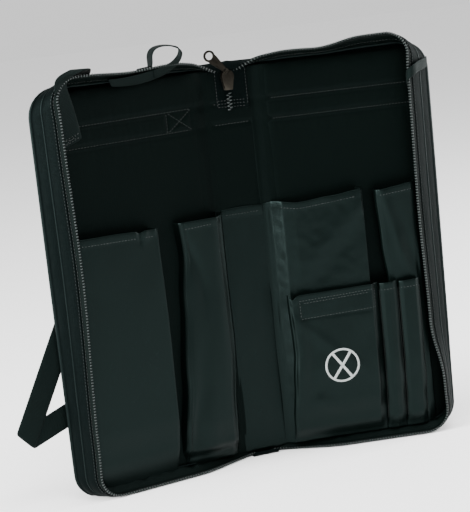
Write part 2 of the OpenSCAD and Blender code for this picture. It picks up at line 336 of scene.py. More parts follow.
def nylon(name, rgb, rough, grain, sheen, weave, gleam=0.25, mottle=0.10):
    """Woven nylon: fine crossing threads, a soft sheen and slightly uneven dye."""
    made, nodes, links, shader = blank(name, rgb, rough)
    place = add(nodes, links, "ShaderNodeTexCoord").outputs["Object"]
    weft = threads(nodes, links, place, (weave, weave, weave * 5), (weave * 5, weave * 5, weave))
    cloud = add(nodes, links, "ShaderNodeTexNoise", Vector=place, Scale=1 / (55 * MM), Detail=3.0)
    tone = add(nodes, links, "ShaderNodeMix", {"data_type": "RGBA"}, i0=cloud.outputs[0],
               i6=shade(rgb, 1 - mottle), i7=shade(rgb, 1 + mottle))
    fleck = add(nodes, links, "ShaderNodeMapRange", Value=weft, i1=0.7, i2=1.35, i3=0.0, i4=1.0)
    dyed = add(nodes, links, "ShaderNodeMix", {"data_type": "RGBA", "blend_type": "MULTIPLY"},
               i0=0.35, i6=tone.outputs[2], i7=fleck.outputs[0])
    links.new(dyed.outputs[2], shader.inputs["Base Color"])
    gloss = add(nodes, links, "ShaderNodeMapRange", Value=weft, i1=0.6, i2=1.4,
                i3=rough + 0.07, i4=rough - 0.07)
    links.new(gloss.outputs[0], shader.inputs["Roughness"])
    relief = add(nodes, links, "ShaderNodeBump", Strength=grain, Distance=0.35 * MM, Height=weft)
    links.new(relief.outputs[0], shader.inputs["Normal"])
    shader.inputs["Sheen Weight"].default_value = sheen
    shader.inputs["Sheen Roughness"].default_value = 0.45
    shader.inputs["Sheen Tint"].default_value = shade((0.75, 0.95, 0.93), 1)
    shader.inputs["Specular IOR Level"].default_value = gleam
    shader.inputs["Specular Tint"].default_value = TINT
    return made


def ribbed(name, rgb, rough, pitch, chevron):
    """Webbing or tape: ribs across its width, or a herringbone, read along its own map."""
    made, nodes, links, shader = blank(name, rgb, rough)
    place = add(nodes, links, "ShaderNodeUVMap").outputs[0]
    split = add(nodes, links, "ShaderNodeSeparateXYZ", Vector=place)
    lean = add(nodes, links, "ShaderNodeMath", {"operation": "PINGPONG"}, i0=split.outputs[0],
               i1=chevron * MM)
    slant = add(nodes, links, "ShaderNodeMath", {"operation": "ADD"}, i0=split.outputs[1],
                i1=lean.outputs[0])
    turns = add(nodes, links, "ShaderNodeMath", {"operation": "MULTIPLY"}, i0=slant.outputs[0],
                i1=2 * math.pi / (pitch * MM))
    rib = add(nodes, links, "ShaderNodeMath", {"operation": "SINE"}, i0=turns.outputs[0])
    grain = add(nodes, links, "ShaderNodeTexNoise", Vector=place, Scale=1 / (1.1 * MM), Detail=2.0)
    height = add(nodes, links, "ShaderNodeMath", {"operation": "MULTIPLY_ADD"}, i0=rib.outputs[0],
                 i1=0.5, i2=grain.outputs[0])
    tone = add(nodes, links, "ShaderNodeMapRange", Value=height.outputs[0], i1=0.0, i2=1.1,
               i3=0.0, i4=1.0)
    dyed = add(nodes, links, "ShaderNodeMix", {"data_type": "RGBA"}, i0=tone.outputs[0],
               i6=shade(rgb, 0.72), i7=shade(rgb, 1.3))
    links.new(dyed.outputs[2], shader.inputs["Base Color"])
    relief = add(nodes, links, "ShaderNodeBump", Strength=0.55, Distance=0.4 * MM,
                 Height=height.outputs[0])
    links.new(relief.outputs[0], shader.inputs["Normal"])
    shader.inputs["Sheen Weight"].default_value = 0.01
    shader.inputs["Sheen Roughness"].default_value = 0.5
    shader.inputs["Specular IOR Level"].default_value = 0.06
    shader.inputs["Specular Tint"].default_value = TINT
    return made


def plated(name, rgb, rough, grain):
    """Cast or drawn metal, plated: cloudy patina, and sharp edges painted brighter, part wear from handling
    and part painted highlight.
    """
    made, nodes, links, shader = blank(name, rgb, rough, 1.0)
    place = add(nodes, links, "ShaderNodeTexCoord").outputs["Object"]
    cloud = add(nodes, links, "ShaderNodeTexNoise", Vector=place, Scale=1 / (grain * MM), Detail=4.0)
    # sharp edges painted up to twice as bright: part wear from handling, part painted highlight
    edge = add(nodes, links, "ShaderNodeNewGeometry").outputs["Pointiness"]
    edge_wear_and_highlight_mask = add(nodes, links, "ShaderNodeMapRange", Value=edge, i1=0.52, i2=0.60, i3=0.0, i4=1.0)
    tone = add(nodes, links, "ShaderNodeMix", {"data_type": "RGBA"}, i0=cloud.outputs[0],
               i6=shade(rgb, 0.65), i7=shade(rgb, 1.2))
    edge_wear_and_highlight_tone = add(nodes, links, "ShaderNodeMix", {"data_type": "RGBA"}, i0=edge_wear_and_highlight_mask.outputs[0],
                 i6=tone.outputs[2], i7=shade(rgb, 2.0))
    links.new(edge_wear_and_highlight_tone.outputs[2], shader.inputs["Base Color"])
    gloss = add(nodes, links, "ShaderNodeMapRange", Value=cloud.outputs[0], i1=0.3, i2=0.7,
                i3=rough - 0.08, i4=rough + 0.1)
    links.new(gloss.outputs[0], shader.inputs["Roughness"])
    relief = add(nodes, links, "ShaderNodeBump", Strength=0.12, Distance=0.1 * MM,
                 Height=cloud.outputs[0])
    links.new(relief.outputs[0], shader.inputs["Normal"])
    return made


def moulded(name, rgb, rough, grain, strength):
    """Moulded or printed plastic: a fine even grain and slight change in gloss."""
    made, nodes, links, shader = blank(name, rgb, rough)
    place = add(nodes, links, "ShaderNodeTexCoord").outputs["Object"]
    fine = add(nodes, links, "ShaderNodeTexNoise", Vector=place, Scale=1 / (grain * MM), Detail=3.0)
    tone = add(nodes, links, "ShaderNodeMix", {"data_type": "RGBA"}, i0=fine.outputs[0],
               i6=shade(rgb, 0.8), i7=shade(rgb, 1.15))
    links.new(tone.outputs[2], shader.inputs["Base Color"])
    gloss = add(nodes, links, "ShaderNodeMapRange", Value=fine.outputs[0], i1=0.3, i2=0.7,
                i3=rough - 0.06, i4=rough + 0.06)
    links.new(gloss.outputs[0], shader.inputs["Roughness"])
    relief = add(nodes, links, "ShaderNodeBump", Strength=strength, Distance=0.2 * MM,
                 Height=fine.outputs[0])
    links.new(relief.outputs[0], shader.inputs["Normal"])
    return made


MATERIALS = {}


def make_materials():
    c = colours()
    made = {
        # 600 denier nylon, dull and grainy outside
        "cover_cloth": nylon("woven nylon cover", c.cover, 0.56, 0.55, 0.004, 1.1, 0.024),
        # nylon taffeta quilted to foam, satin
        "lining_cloth": nylon("nylon taffeta lining", c.lining, 0.50, 0.40, 0.003, 0.9, 0.04),
        # calendered nylon, smooth with broad soft highlights
        "pocket_cloth": nylon("calendered nylon pocket", c.pocket, 0.33, 0.18, 0.002, 0.8, 0.095, 0.06),
        "webbing": ribbed("polypropylene webbing", c.webbing, 0.58, 2.2, 50),
        "zip_tape": ribbed("herringbone polyester tape", c.tape, 0.7, 1.8, 2.4),
        "zip_coil": moulded("nylon coil", c.coil, 0.38, 1.2, 0.1),
        "piping": nylon("nylon binding", c.cover, 0.45, 0.4, 0.005, 1.2, 0.08),
        "dark_metal": plated("antique plated zinc", c.metal, 0.36, 2.5),
        "ring_metal": plated("plated steel wire", c.wire, 0.28, 4.0),
        "adjuster_plastic": moulded("moulded acetal", c.plastic, 0.42, 0.8, 0.25),
        "hook_tape": moulded("hook and loop pile", c.tape, 0.85, 0.6, 1.0),
        "print_silver": moulded("silver screen print", c.printing, 0.5, 0.7, 0.3),
        "thread": moulded("bonded nylon thread", c.thread, 0.5, 0.5, 0.3),
    }
    MATERIALS.update(made)


# ---- making pieces ------------------------------------------------------------------------------
def piece(bm, name, *materials, slot=None):
    """Turns a finished bmesh into an object with its place in its mesh."""
    mesh = bpy.data.meshes.new(name)
    bm.to_mesh(mesh)
    bm.free()
    made = bpy.data.objects.new(name, mesh)
    bpy.context.scene.collection.objects.link(made)
    mesh.polygons.foreach_set("use_smooth", [True] * len(mesh.polygons))
    for key in materials:
        mesh.materials.append(MATERIALS[key])
    return made


def face_towards(bm, outward):
    """Turns an open sheet over if most of it faces away from outward(point)."""
    bm.normal_update()
    total = sum(f.normal.dot(outward(f.calc_center_median())) * f.calc_area() for f in bm.faces)
    if total < 0:
        bmesh.ops.reverse_faces(bm, faces=bm.faces)


def laid_grid(across, along, shape, outward):
    """A sheet of across by along cells, laid by shape(s, t), with a map in metres."""
    bm = bmesh.new()
    layer = bm.loops.layers.uv.new("cloth")
    bmesh.ops.create_grid(bm, x_segments=across, y_segments=along, size=0.5)
    shares = {}
    for v in bm.verts:
        shares[v] = (v.co.x + 0.5, v.co.y + 0.5)
    wide = sum((shape((k + 1) / 12, 0.5) - shape(k / 12, 0.5)).length for k in range(12))
    tall = sum((shape(0.5, (k + 1) / 12) - shape(0.5, k / 12)).length for k in range(12))
    for v in bm.verts:
        v.co = shape(*shares[v])
    for f in bm.faces:
        for loop in f.loops:
            s, t = shares[loop.vert]
            loop[layer].uv = (s * wide, t * tall)
    face_towards(bm, outward)
    return bm, wide, tall


def cloth(name, across, along, shape, outward, key, thick=0.8, subdivide=1, offset=-1.0):
    """A sheet of cloth with its thickness. Gives the object and its flat width and length."""
    bm, wide, tall = laid_grid(across, along, shape, outward)
    made = piece(bm, name, key)
    solid = made.modifiers.new("thickness", "SOLIDIFY")
    solid.thickness = thick * MM
    solid.offset = offset
    if subdivide:
        smooth = made.modifiers.new("smooth", "SUBSURF")
        smooth.levels = subdivide
        smooth.render_levels = subdivide
    return made, wide, tall


LEAST_FLAT = 0.0105       # the narrowest flat side that a sheet can be given; the zip tapes are narrower


def declare(obj, wide, tall, rests_on):
    """Works out a sheet's flat width from its area and LEAST_FLAT; nothing is kept. The
    flat size measured on its own surface.
    """
    area = sum(p.area for p in obj.data.polygons)
    wide = max(wide, area / tall * 1.0005, LEAST_FLAT)


def bend(obj, side, start_x=25.0, end_x=44.0):
    """Bakes a piece's placement into its mesh."""
    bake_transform(obj)


WALL_SPAN = (22, 46)      # distances from the spine's middle, given to bend


def ride_half(obj, side):
    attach(obj, "spine" if side == SPINE else HALVES[side] + "_half")


def ribbon(name, lines, thick, outward, rests_on):
    """Webbing between two edge lines that have the same number of points."""
    one, two = lines
    count = len(one) - 1

    def shape(s, t):
        k = min(int(t * count), count - 1)
        q = t * count - k
        a, b = one[k].lerp(one[k + 1], q), two[k].lerp(two[k + 1], q)
        return a.lerp(b, s)

    made, wide, tall = cloth(name, 4, count, shape, outward, "webbing", thick, 1, 0.0)
    declare(made, wide, tall, rests_on)
    return made


FLAT_ANGLE = 0.05
SHARP_ANGLE = 0.6


def node_copy(node, name, key, edge, steps=2):
    """A cleaned copy of a CAD node with its sharp edges rounded off."""
    bm = bmesh.new()
    bm.from_mesh(frame["nodes"][node].data)
    bmesh.ops.remove_doubles(bm, verts=bm.verts, dist=1e-6)
    bmesh.ops.dissolve_limit(bm, angle_limit=FLAT_ANGLE, verts=bm.verts, edges=bm.edges)
    bmesh.ops.recalc_face_normals(bm, faces=bm.faces)
    sharp = [e for e in bm.edges if len(e.link_faces) == 2 and e.calc_face_angle(0) > SHARP_ANGLE]
    if edge:
        bmesh.ops.bevel(bm, geom=sharp, offset=edge * MM, segments=steps, profile=0.5,
                        affect="EDGES", material=-1, clamp_overlap=True)
    return piece(bm, name, key)


def surface_of(obj):
    """A tree of a piece's finished surface, for laying other things on it."""
    graph = bpy.context.evaluated_depsgraph_get()
    return BVHTree.FromObject(obj, graph)


def dropped(tree, side, u, z, lift=0.1, start_n=60.0):
    """The point on a surface below (u, z), lifted a little."""
    down = -facing(side) if side != SPINE else Vector((0, 1, 0))
    hit = tree.ray_cast(at(side, u, start_n, z), down)
    if hit[0] is None:
        return None
    return hit[0] - down * lift * MM


def strew(bm, frames):
    """Adds a bead for each (place, along, up, length, width, height), sizes in millimetres."""
    for place, along, up, long, wide, high in frames:
        x = along.normalized()
        side_way = up.cross(x)
        if side_way.length < 1e-6:
            continue
        y = side_way.normalized()
        z = x.cross(y)
        turn = Matrix((x * long * MM, y * wide * MM, z * high * MM)).transposed().to_4x4()
        turn.translation = place
        bmesh.ops.create_icosphere(bm, subdivisions=1, radius=0.5, matrix=turn)


STITCH = (2.5, 0.75, 0.55)


def stitch_frames(line, up, pitch):
    """Beads along a line of points, one for each stitch."""
    marks = [0.0]
    for a, b in zip(line, line[1:]):
        marks.append(marks[-1] + (b - a).length / MM)
    count = int(marks[-1] / pitch)
    made = []
    for k in range(count):
        s = (k + 0.5) * pitch
        i = min(bisect.bisect_right(marks, s) - 1, len(line) - 2)
        t = (s - marks[i]) / max(marks[i + 1] - marks[i], 1e-9)
        made.append((line[i].lerp(line[i + 1], t), line[i + 1] - line[i], up(line[i]), *STITCH))
    return made


THREADS = {}


def sew(group, line, up):
    """Keeps a row of stitches for a group that is made into one piece at the end."""
    line = [p for p in line if p is not None]
    if len(line) > 1:
        THREADS.setdefault(group, []).extend(stitch_frames(line, up, size("stitch")))


def seam_on(group, tree, side, points, lift=0.15):
    """Stitches dropped on a surface along a line of (u, z)."""
    line = []
    for (u0, z0), (u1, z1) in zip(points, points[1:]):
        count = max(1, round(math.dist((u0, z0), (u1, z1)) / 3))
        for k in range(count):
            line.append(dropped(tree, side, mix(u0, u1, k / count), mix(z0, z1, k / count), lift))
    line.append(dropped(tree, side, *points[-1], lift))
    out = facing(side) if side != SPINE else Vector((0, -1, 0))
    sew(group, line, lambda p: out)


# ---- pads -------------------------------------------------------------------------------------
BAND = (384.0, 407.0)
BOX = (18.0, 48.0)
PAD_IN = 7.5


def quilt(side, u, z):
    """How far the stitched rows press the lining in, in millimetres."""
    press = 0.0
    for row in BAND:
        press = max(press, hump(z, row + 0.6 * crumple((u, row, 3), 30), 2.6))
    inside = BAND[0] - 2 < z < BAND[1] + 2
    if side == LEFT and inside:
        for row in BOX:
            press = max(press, 0.8 * hump(u, row, 2.2))
        if BOX[0] < u < BOX[1]:
            share = (u - BOX[0]) / (BOX[1] - BOX[0])
            for target in (mix(BAND[0], BAND[1], share), mix(BAND[1], BAND[0], share)):
                press = max(press, 0.6 * hump(z, target, 2.0))
    ripple = 0.35 * crumple((u * 2.2, z * 0.35, side), 9) * hump(z, 395, 30)
    return 2.3 * press - ripple


def pad(side):
    """A half's padding between its cover and its lining, blown up a little by cloth simulation."""
    w, h, r = size("half_w"), size("half_h"), size("corner")
    bm = bmesh.new()
    bmesh.ops.create_grid(bm, x_segments=1, y_segments=1, size=0.5)
    wide, tall = w + 1.5 - PAD_IN, h + 3
    bmesh.ops.scale(bm, vec=(wide, tall, 1), verts=bm.verts)
    outer = [v for v in bm.verts if v.co.x > 0]
    bmesh.ops.bevel(bm, geom=outer, offset=r - 2, segments=7, profile=0.5, affect="VERTICES",
                    material=-1, offset_type="OFFSET")
    raised = bmesh.ops.extrude_face_region(bm, geom=bm.faces[:])["geom"]
    top = [v for v in raised if isinstance(v, bmesh.types.BMVert)]
    bmesh.ops.translate(bm, vec=(0, 0, 6.4), verts=top)
    for v in top:
        v.co.x -= 7.0 * ease((v.co.x + wide / 2) / wide)
        v.co.y *= 1 - 9.0 / tall
    bmesh.ops.recalc_face_normals(bm, faces=bm.faces)
    middle = PAD_IN + wide / 2
    for v in bm.verts:
        v.co = at(side, v.co.x + middle, v.co.z + 1.4, v.co.y + h / 2)
    if side == LEFT:
        bmesh.ops.recalc_face_normals(bm, faces=bm.faces)
    made = piece(bm, HALVES[side] + "_pad", "lining_cloth", "cover_cloth")
    puff(made, 4.0, 1.5)
    for v in made.data.vertices:
        u, n, z = half_frame(side, v.co)
        room = 4.4 * ease(n / 7)
        u, z = min(u, w - 0.2 - room), min(max(z, 0.5 + 0.4 * room), h - 0.2 - room)
        v.co = at(side, u, max(n, 1.0), z)
        share = ease((n - 4) / 3)
        if share > 0:
            v.co -= facing(side) * share * quilt(side, u, z) * MM
    for p in made.data.polygons:
        p.material_index = 0 if half_frame(side, p.center)[1] > 3.2 else 1
    return made


def half_frame(side, p):
    """A point in metres as (u, n, z) in a half's frame."""
    x, y = side * p.x / MM - FOLD_X, p.y / MM
    return (x * math.cos(OPEN) - y * math.sin(OPEN), -x * math.sin(OPEN) - y * math.cos(OPEN),
            p.z / MM)


def puff(obj, voxel, cap):
    """Remeshes a pad, lets air pressure round it and turns the result into its mesh."""
    scene = bpy.context.scene
    again = obj.modifiers.new("even cells", "REMESH")
    again.mode = "VOXEL"
    again.voxel_size = voxel * MM
    bake(obj)
    rest = [v.co.copy() for v in obj.data.vertices]
    air = obj.modifiers.new("air", "CLOTH")
    air.settings.use_pressure = True
    air.settings.uniform_pressure_force = 4.0
    air.settings.effector_weights.gravity = 0
    air.settings.quality = 4
    air.settings.tension_stiffness = 25
    air.settings.compression_stiffness = 25
    air.settings.mass = 0.3
    air.point_cache.frame_start = 1
    air.point_cache.frame_end = 20
    for number in range(1, 21):
        scene.frame_set(number)
    bake(obj)
    scene.frame_set(1)
    for v, place in zip(obj.data.vertices, rest):
        move = v.co - place
        if move.length > cap * MM:
            move = move.normalized() * cap * MM
        v.co = place + move
    bm = bmesh.new()
    bm.from_mesh(obj.data)
    bmesh.ops.smooth_vert(bm, verts=bm.verts, factor=0.5, use_axis_x=True, use_axis_y=True,
                          use_axis_z=True)
    bm.to_mesh(obj.data)
    bm.free()
    finer = obj.modifiers.new("finer", "SUBSURF")
    finer.levels = 1
    finer.render_levels = 1
    bake(obj)
    obj.data.polygons.foreach_set("use_smooth", [True] * len(obj.data.polygons))


def bake(obj):
    """Turns the modifiers' result into the piece's own mesh."""
    graph = bpy.context.evaluated_depsgraph_get()
    graph.update()
    fresh = bpy.data.meshes.new_from_object(obj.evaluated_get(graph), depsgraph=graph)
    kept = list(obj.data.materials)
    fresh.materials.clear()
    for material in kept:
        fresh.materials.append(material)
    obj.modifiers.clear()
    old = obj.data
    obj.data = fresh
    bpy.data.meshes.remove(old)


def spine_pad():
    """The spine's thinner padding."""
    h = size("half_h")
    bm = bmesh.new()
    bmesh.ops.create_cube(bm, size=1)
    bmesh.ops.scale(bm, vec=(59, 4.4, h + 1), verts=bm.verts)
    bmesh.ops.translate(bm, vec=(0, -2.3, h / 2), verts=bm.verts)
    bmesh.ops.scale(bm, vec=(MM, MM, MM), verts=bm.verts)
    made = piece(bm, "spine_pad", "lining_cloth", "cover_cloth")
    puff(made, 4.0, 1.0)
    for v in made.data.vertices:
        v.co.z = min(max(v.co.z, 1.0 * MM), (h - 0.5) * MM)
        v.co.y = min(v.co.y, -1.0 * MM)
        n = -v.co.y / MM
        share = ease((n - 2.5) / 1.5)
        press = max(hump(v.co.z / MM, row, 2.6) for row in BAND)
        v.co.y += share * 1.1 * press * MM
    for p in made.data.polygons:
        p.material_index = 0 if p.center.y < -2 * MM else 1
    return made


class BAG_OT_pads(bpy.types.Operator):
    """Makes the padding of both halves and the spine"""
    bl_idname = "bag.pads"
    bl_label = "Padding"

    def execute(self, context):
        for side in (LEFT, RIGHT):
            made = pad(side)
            name = HALVES[side]
            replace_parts(made, name + "_foam", name + "_lining")
            ride_half(made, side)
            tree = surface_of(made)
            for row in BAND:
                seam_on(name + "_half", tree, side, [(9, row), (178, row)])
            if side == LEFT:
                low, high = BAND
                near, far = BOX
                for a, b in (((near, low), (near, high)), ((far, low), (far, high)),
                             ((near, low), (far, high)), ((near, high), (far, low))):
                    seam_on("left_half", tree, side, [a, b])
        made = spine_pad()
        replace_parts(made, "spine_foam", "spine_lining")
        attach(made, "spine")
        tree = surface_of(made)
        for row in BAND:
            seam_on("spine", tree, SPINE, [(-18, row), (25, row)])
        return {"FINISHED"}


class BAG_OT_covers(bpy.types.Operator):
    """Makes the outer cloth on the backs of both halves and the spine"""
    bl_idname = "bag.covers"
    bl_label = "Back cloth"

    def execute(self, context):
        w, h, r = size("half_w"), size("half_h"), size("corner")
        for side in (LEFT, SPINE, RIGHT):
            def back(s, t):
                z = mix(0.15, h, t)
                d = max(r - z, z - (h - r), 0)
                reach = w - r + math.sqrt(max(r * r - d * d, 0))
                u = mix(-27, 27, s) if side == SPINE else mix(7, reach, s)
                calm = ease(s * 8) * ease((1 - s) * 8) * ease(t * 12) * ease((1 - t) * 12)
                return at(side, u, -0.35 * calm * crumple((u, z * 0.6, side), 45), z)

            out = -facing(side) if side != SPINE else Vector((0, 1, 0))
            name = HALVES.get(side, "spine")
            made, wide, tall = cloth(name + "_back_cloth", 60, 130, back, lambda p: out,
                                     "cover_cloth", 0.9, 0)
            declare(made, wide, tall, [name + "_pad"])
            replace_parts(made, name + "_cover")
            ride_half(made, side)
        return {"FINISHED"}


class BAG_OT_folds(bpy.types.Operator):
    """Makes the cloth that crosses the two fold lines, inside and outside"""
    bl_idname = "bag.folds"
    bl_label = "Fold cloth"

    def execute(self, context):
        h = size("half_h")
        for side in (LEFT, RIGHT):
            seam_x = 20.0 if side == LEFT else 24.0
            near = half_frame(side, Vector((side * seam_x * MM, -4.4 * MM, 0)))

            def inner(s, t):
                z = mix(5, h - 4, t)
                rows = [(0, near[0], near[1] - 0.4), (0.1, near[0] + 1.6, near[1] + 0.5),
                        (0.3, 0, 5.6), (0.62, 8, 7.8), (0.82, 14, 8.6), (1, 24, 6.9)]
                u, n = polyline(rows, s)
                press = max(hump(z, row, 2.6) for row in BAND)
                n += 0.5 * crumple((u, z * 0.2, side), 12) - 1.5 * press * math.sin(math.pi * s)
                return at(side, u, n, z)

            def outer(s, t):
                u = mix(-5.5, 11, s)
                n = 0.35 * crumple((u, t * 90, 5), 9) * math.sin(math.pi * s) - 0.1
                return at(side, u, n - 0.5 * math.sin(math.pi * s), mix(1.5, h - 1, t))

            out = facing(side)
            name = HALVES[side]
            made, wide, tall = cloth(name + "_fold_lining", 18, 90, inner, lambda p: out,
                                     "lining_cloth", 0.8)
            declare(made, wide, tall, [name + "_pad", "spine_pad"])
            bend(made, side, 24, 46)
            made, wide, tall = cloth(name + "_fold_cover", 12, 90, outer, lambda p: -out,
                                     "cover_cloth", 0.9)
            declare(made, wide, tall, [name + "_pad", "spine_pad"])
            bend(made, side, 24, 40)
        return {"FINISHED"}


# ---- rim walls, tape and coil ---------------------------------------------------------------
SEAM_F = 0.41
GUSSET_F = 0.84
TAPE_F = (0.80, 0.975)


def outwards(side):
    """Gives a function that points away from the middle of a half."""
    def away(p):
        u, n, z = half_frame(side, p)
        return at(side, u, n, z) - at(side, min(u, 120), n, min(max(z, 80), 370)) + Vector(
            (0, 0, 1e-6))
    return away


def foot_rise(rim, d):
    """How far the facing's inner edge stands up from the lower wall, in millimetres."""
    low_corner, _ = rim.s_of_corner()
    return 7.5 * ease((low_corner + 30 - d) / 45) * mix(0.45, 1.0, ease((d - 20) / 90))


class BAG_OT_walls(bpy.types.Operator):
    """Makes the walls round the rims, their lining, seams and piping"""
    bl_idname = "bag.walls"
    bl_label = "Rim walls"

    def execute(self, context):
        for side in (LEFT, RIGHT):
            rim = Rim(side)
            RIMS[side] = rim
            name = HALVES[side]
            away = outwards(side)
            total = rim.length
            low_corner, high_corner = rim.s_of_corner()

            def outer(s, t):
                d, f = t * total, mix(0.0, GUSSET_F, s)
                span = (0, SEAM_F) if f < SEAM_F else (SEAM_F, GUSSET_F)
                q = (f - span[0]) / (span[1] - span[0])
                swell = (1.3 if f < SEAM_F else 1.1) * math.sin(math.pi * q) ** 0.7
                swell += 0.55 * crumple((d * 0.5, f * 30, side * 7), 14) * math.sin(math.pi * q)
                return rim.point(d, f, -swell)

            made, wide, tall = cloth(name + "_gusset_cloth", 22, 300, outer, away, "cover_cloth", 1.0)
            declare(made, wide, tall, [name + "_pad"])
            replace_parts(made, name + "_gusset")
            bend(made, side, *WALL_SPAN)

            def inner(s, t):
                d, f = t * total, mix(0.15, 0.80, s)
                on_top = d > high_corner
                on_foot = d < low_corner
                pucker = 1.5 if on_foot else 1.1 if on_top else 0.35
                wave = math.sin(d / 2.9 + 2.2 * crumple((d, 0, side), 24))
                wave = wave * (0.5 + 0.8 * crumple((d, 9, side), 40)) + 0.6 * crumple((d, 3, f), 9)
                swell = pucker * wave * math.sin(math.pi * min(1, s / 0.72)) if s < 0.72 else 0.0
                rise = foot_rise(rim, d)
                crest = ease(s / 0.4) if s < 0.4 else 1 - ease((s - 0.4) / 0.6)
                return rim.point(d, f, 2.2 + 1.0 * math.sin(math.pi * s) + swell + rise * crest)

            made, wide, tall = cloth(name + "_gusset_facing", 12, 460, inner, lambda p: -away(p),
                                     "lining_cloth", 0.7)
            declare(made, wide, tall, [name + "_gusset_cloth"])
            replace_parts(made, name + "_gusset_lining")
            bend(made, side, *WALL_SPAN)
            self.binding(side, rim, name)
        return {"FINISHED"}

    def binding(self, side, rim, name):
        """Piped edges: at the back, along the wall's seam, and inside at the lining's edge."""
        runs = (("_piping", -0.03, -0.6, 1.5, name + "_piping"), ("_seam_piping", SEAM_F, -0.5, 0.8, None),
                ("_edge_binding", 0.30, 3.4, 1.1, None))
        for label, f, off, r, node in runs:
            count = int(rim.length / 5)

            def shape(s, t):
                d = t * rim.length
                turn = 2 * math.pi * s
                extra = 0.4 * crumple((d, 0, f * 9), 16) if label == "_edge_binding" else 0
                rise = foot_rise(rim, d) if label == "_edge_binding" else 0
                return rim.point(d, f + 0.013 * rise + r * math.cos(turn) / size("depth"),
                                 off + extra + rise + r * math.sin(turn))

            bm, _, _ = laid_grid(8, count, shape, lambda p: Vector((0, 0, 1)))
            bmesh.ops.remove_doubles(bm, verts=bm.verts, dist=1e-5)
            ends = [e for e in bm.edges if e.is_boundary]
            bmesh.ops.holes_fill(bm, edges=ends, sides=0)
            bmesh.ops.recalc_face_normals(bm, faces=bm.faces)
            made = piece(bm, name + label, "piping")
            if node:
                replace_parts(made, node)
            bend(made, side, *WALL_SPAN)


class BAG_OT_zip(bpy.types.Operator):
    """Makes the zip tapes, the teeth round both rims and the closed chain"""
    bl_idname = "bag.zip"
    bl_label = "Zip"

    def execute(self, context):
        for side in (LEFT, RIGHT):
            rim = RIMS[side]
            name = HALVES[side]
            away = outwards(side)

            def tape(s, t):
                return rim.point(t * rim.length, mix(TAPE_F[0], TAPE_F[1] + 0.01, s), 1.2)

            made, wide, tall = cloth(name + "_tape", 4, 300, tape, away, "zip_tape", 0.9)
            declare(made, wide, tall, [name + "_gusset_cloth"])
            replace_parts(made, name + "_zip_tape")
            bend(made, side, *WALL_SPAN)

            pitch = size("tooth")
            count = int((rim.length - 4) / pitch)
            bm = bmesh.new()
            frames = []
            for k in range(count):
                d = 2 + (k + 0.5) * pitch
                low, high = rim.point(d, 0.99, 1.4), rim.point(d, 1.05, 1.4)
                ahead = rim.point(d + 0.5, 1.0, 1.4) - rim.point(d - 0.5, 1.0, 1.4)
                up = high - low
                frames.append((rim.point(d, 1.0, 1.4), ahead, up, 1.7, 3.6, 2.5))
            strew(bm, frames)
            made = piece(bm, name + "_teeth", "zip_coil")
            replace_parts(made, name + "_zip_coil", name + "_chain_end")
            bend(made, side, *WALL_SPAN)

            def cord(s, t):
                turn = 2 * math.pi * s
                return rim.point(t * rim.length, 0.985 + 0.8 * math.cos(turn) / size("depth"),
                                 1.5 + 0.9 * math.sin(turn))

            bm, _, _ = laid_grid(6, 260, cord, lambda p: Vector((0, 0, 1)))
            bmesh.ops.remove_doubles(bm, verts=bm.verts, dist=1e-5)
            bmesh.ops.holes_fill(bm, edges=[e for e in bm.edges if e.is_boundary], sides=0)
            bmesh.ops.recalc_face_normals(bm, faces=bm.faces)
            made = piece(bm, name + "_coil_core", "zip_tape", slot="zip_coil")
            bend(made, side, *WALL_SPAN)

            for f, off in ((0.79, -0.35), (0.86, 0.55)):
                line = [rim.point(d, f, off) for d in range(6, int(rim.length) - 6, 4)]
                sew(name + "_rim", line, away)
            line = [rim.point(d, 0.60, 3.4) for d in range(6, int(rim.length) - 6, 4)]
            sew(name + "_rim", line, lambda p: -away(p))
        bm = bmesh.new()
        frames = []
        for k in range(10):
            z = 400 + 2.0 * k
            way = 1 if k % 2 else -1
            frames.append((Vector((way * 1.3, -9.8, z)) * MM, Vector((1, 0, 0.1 * way)),
                           Vector((0, -1, 0)), 4.4, 1.7, 2.2))
        strew(bm, frames)
        made = piece(bm, "closed_teeth", "zip_coil")
        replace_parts(made, "closed_chain")
        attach(made, "spine")
        return {"FINISHED"}


class BAG_OT_slider(bpy.types.Operator):
    """Makes the slider and its puller"""
    bl_idname = "bag.slider"
    bl_label = "Slider and puller"

    def execute(self, context):
        for node, name, body, edge in (("zip_slider", "slider_body", "slider", 0.45),
                                       ("zip_puller", "slider_puller", "puller", 0.4)):
            made = node_copy(node, name, "dark_metal", edge, 3)
            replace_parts(made, node)
            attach(made, body)
        return {"FINISHED"}


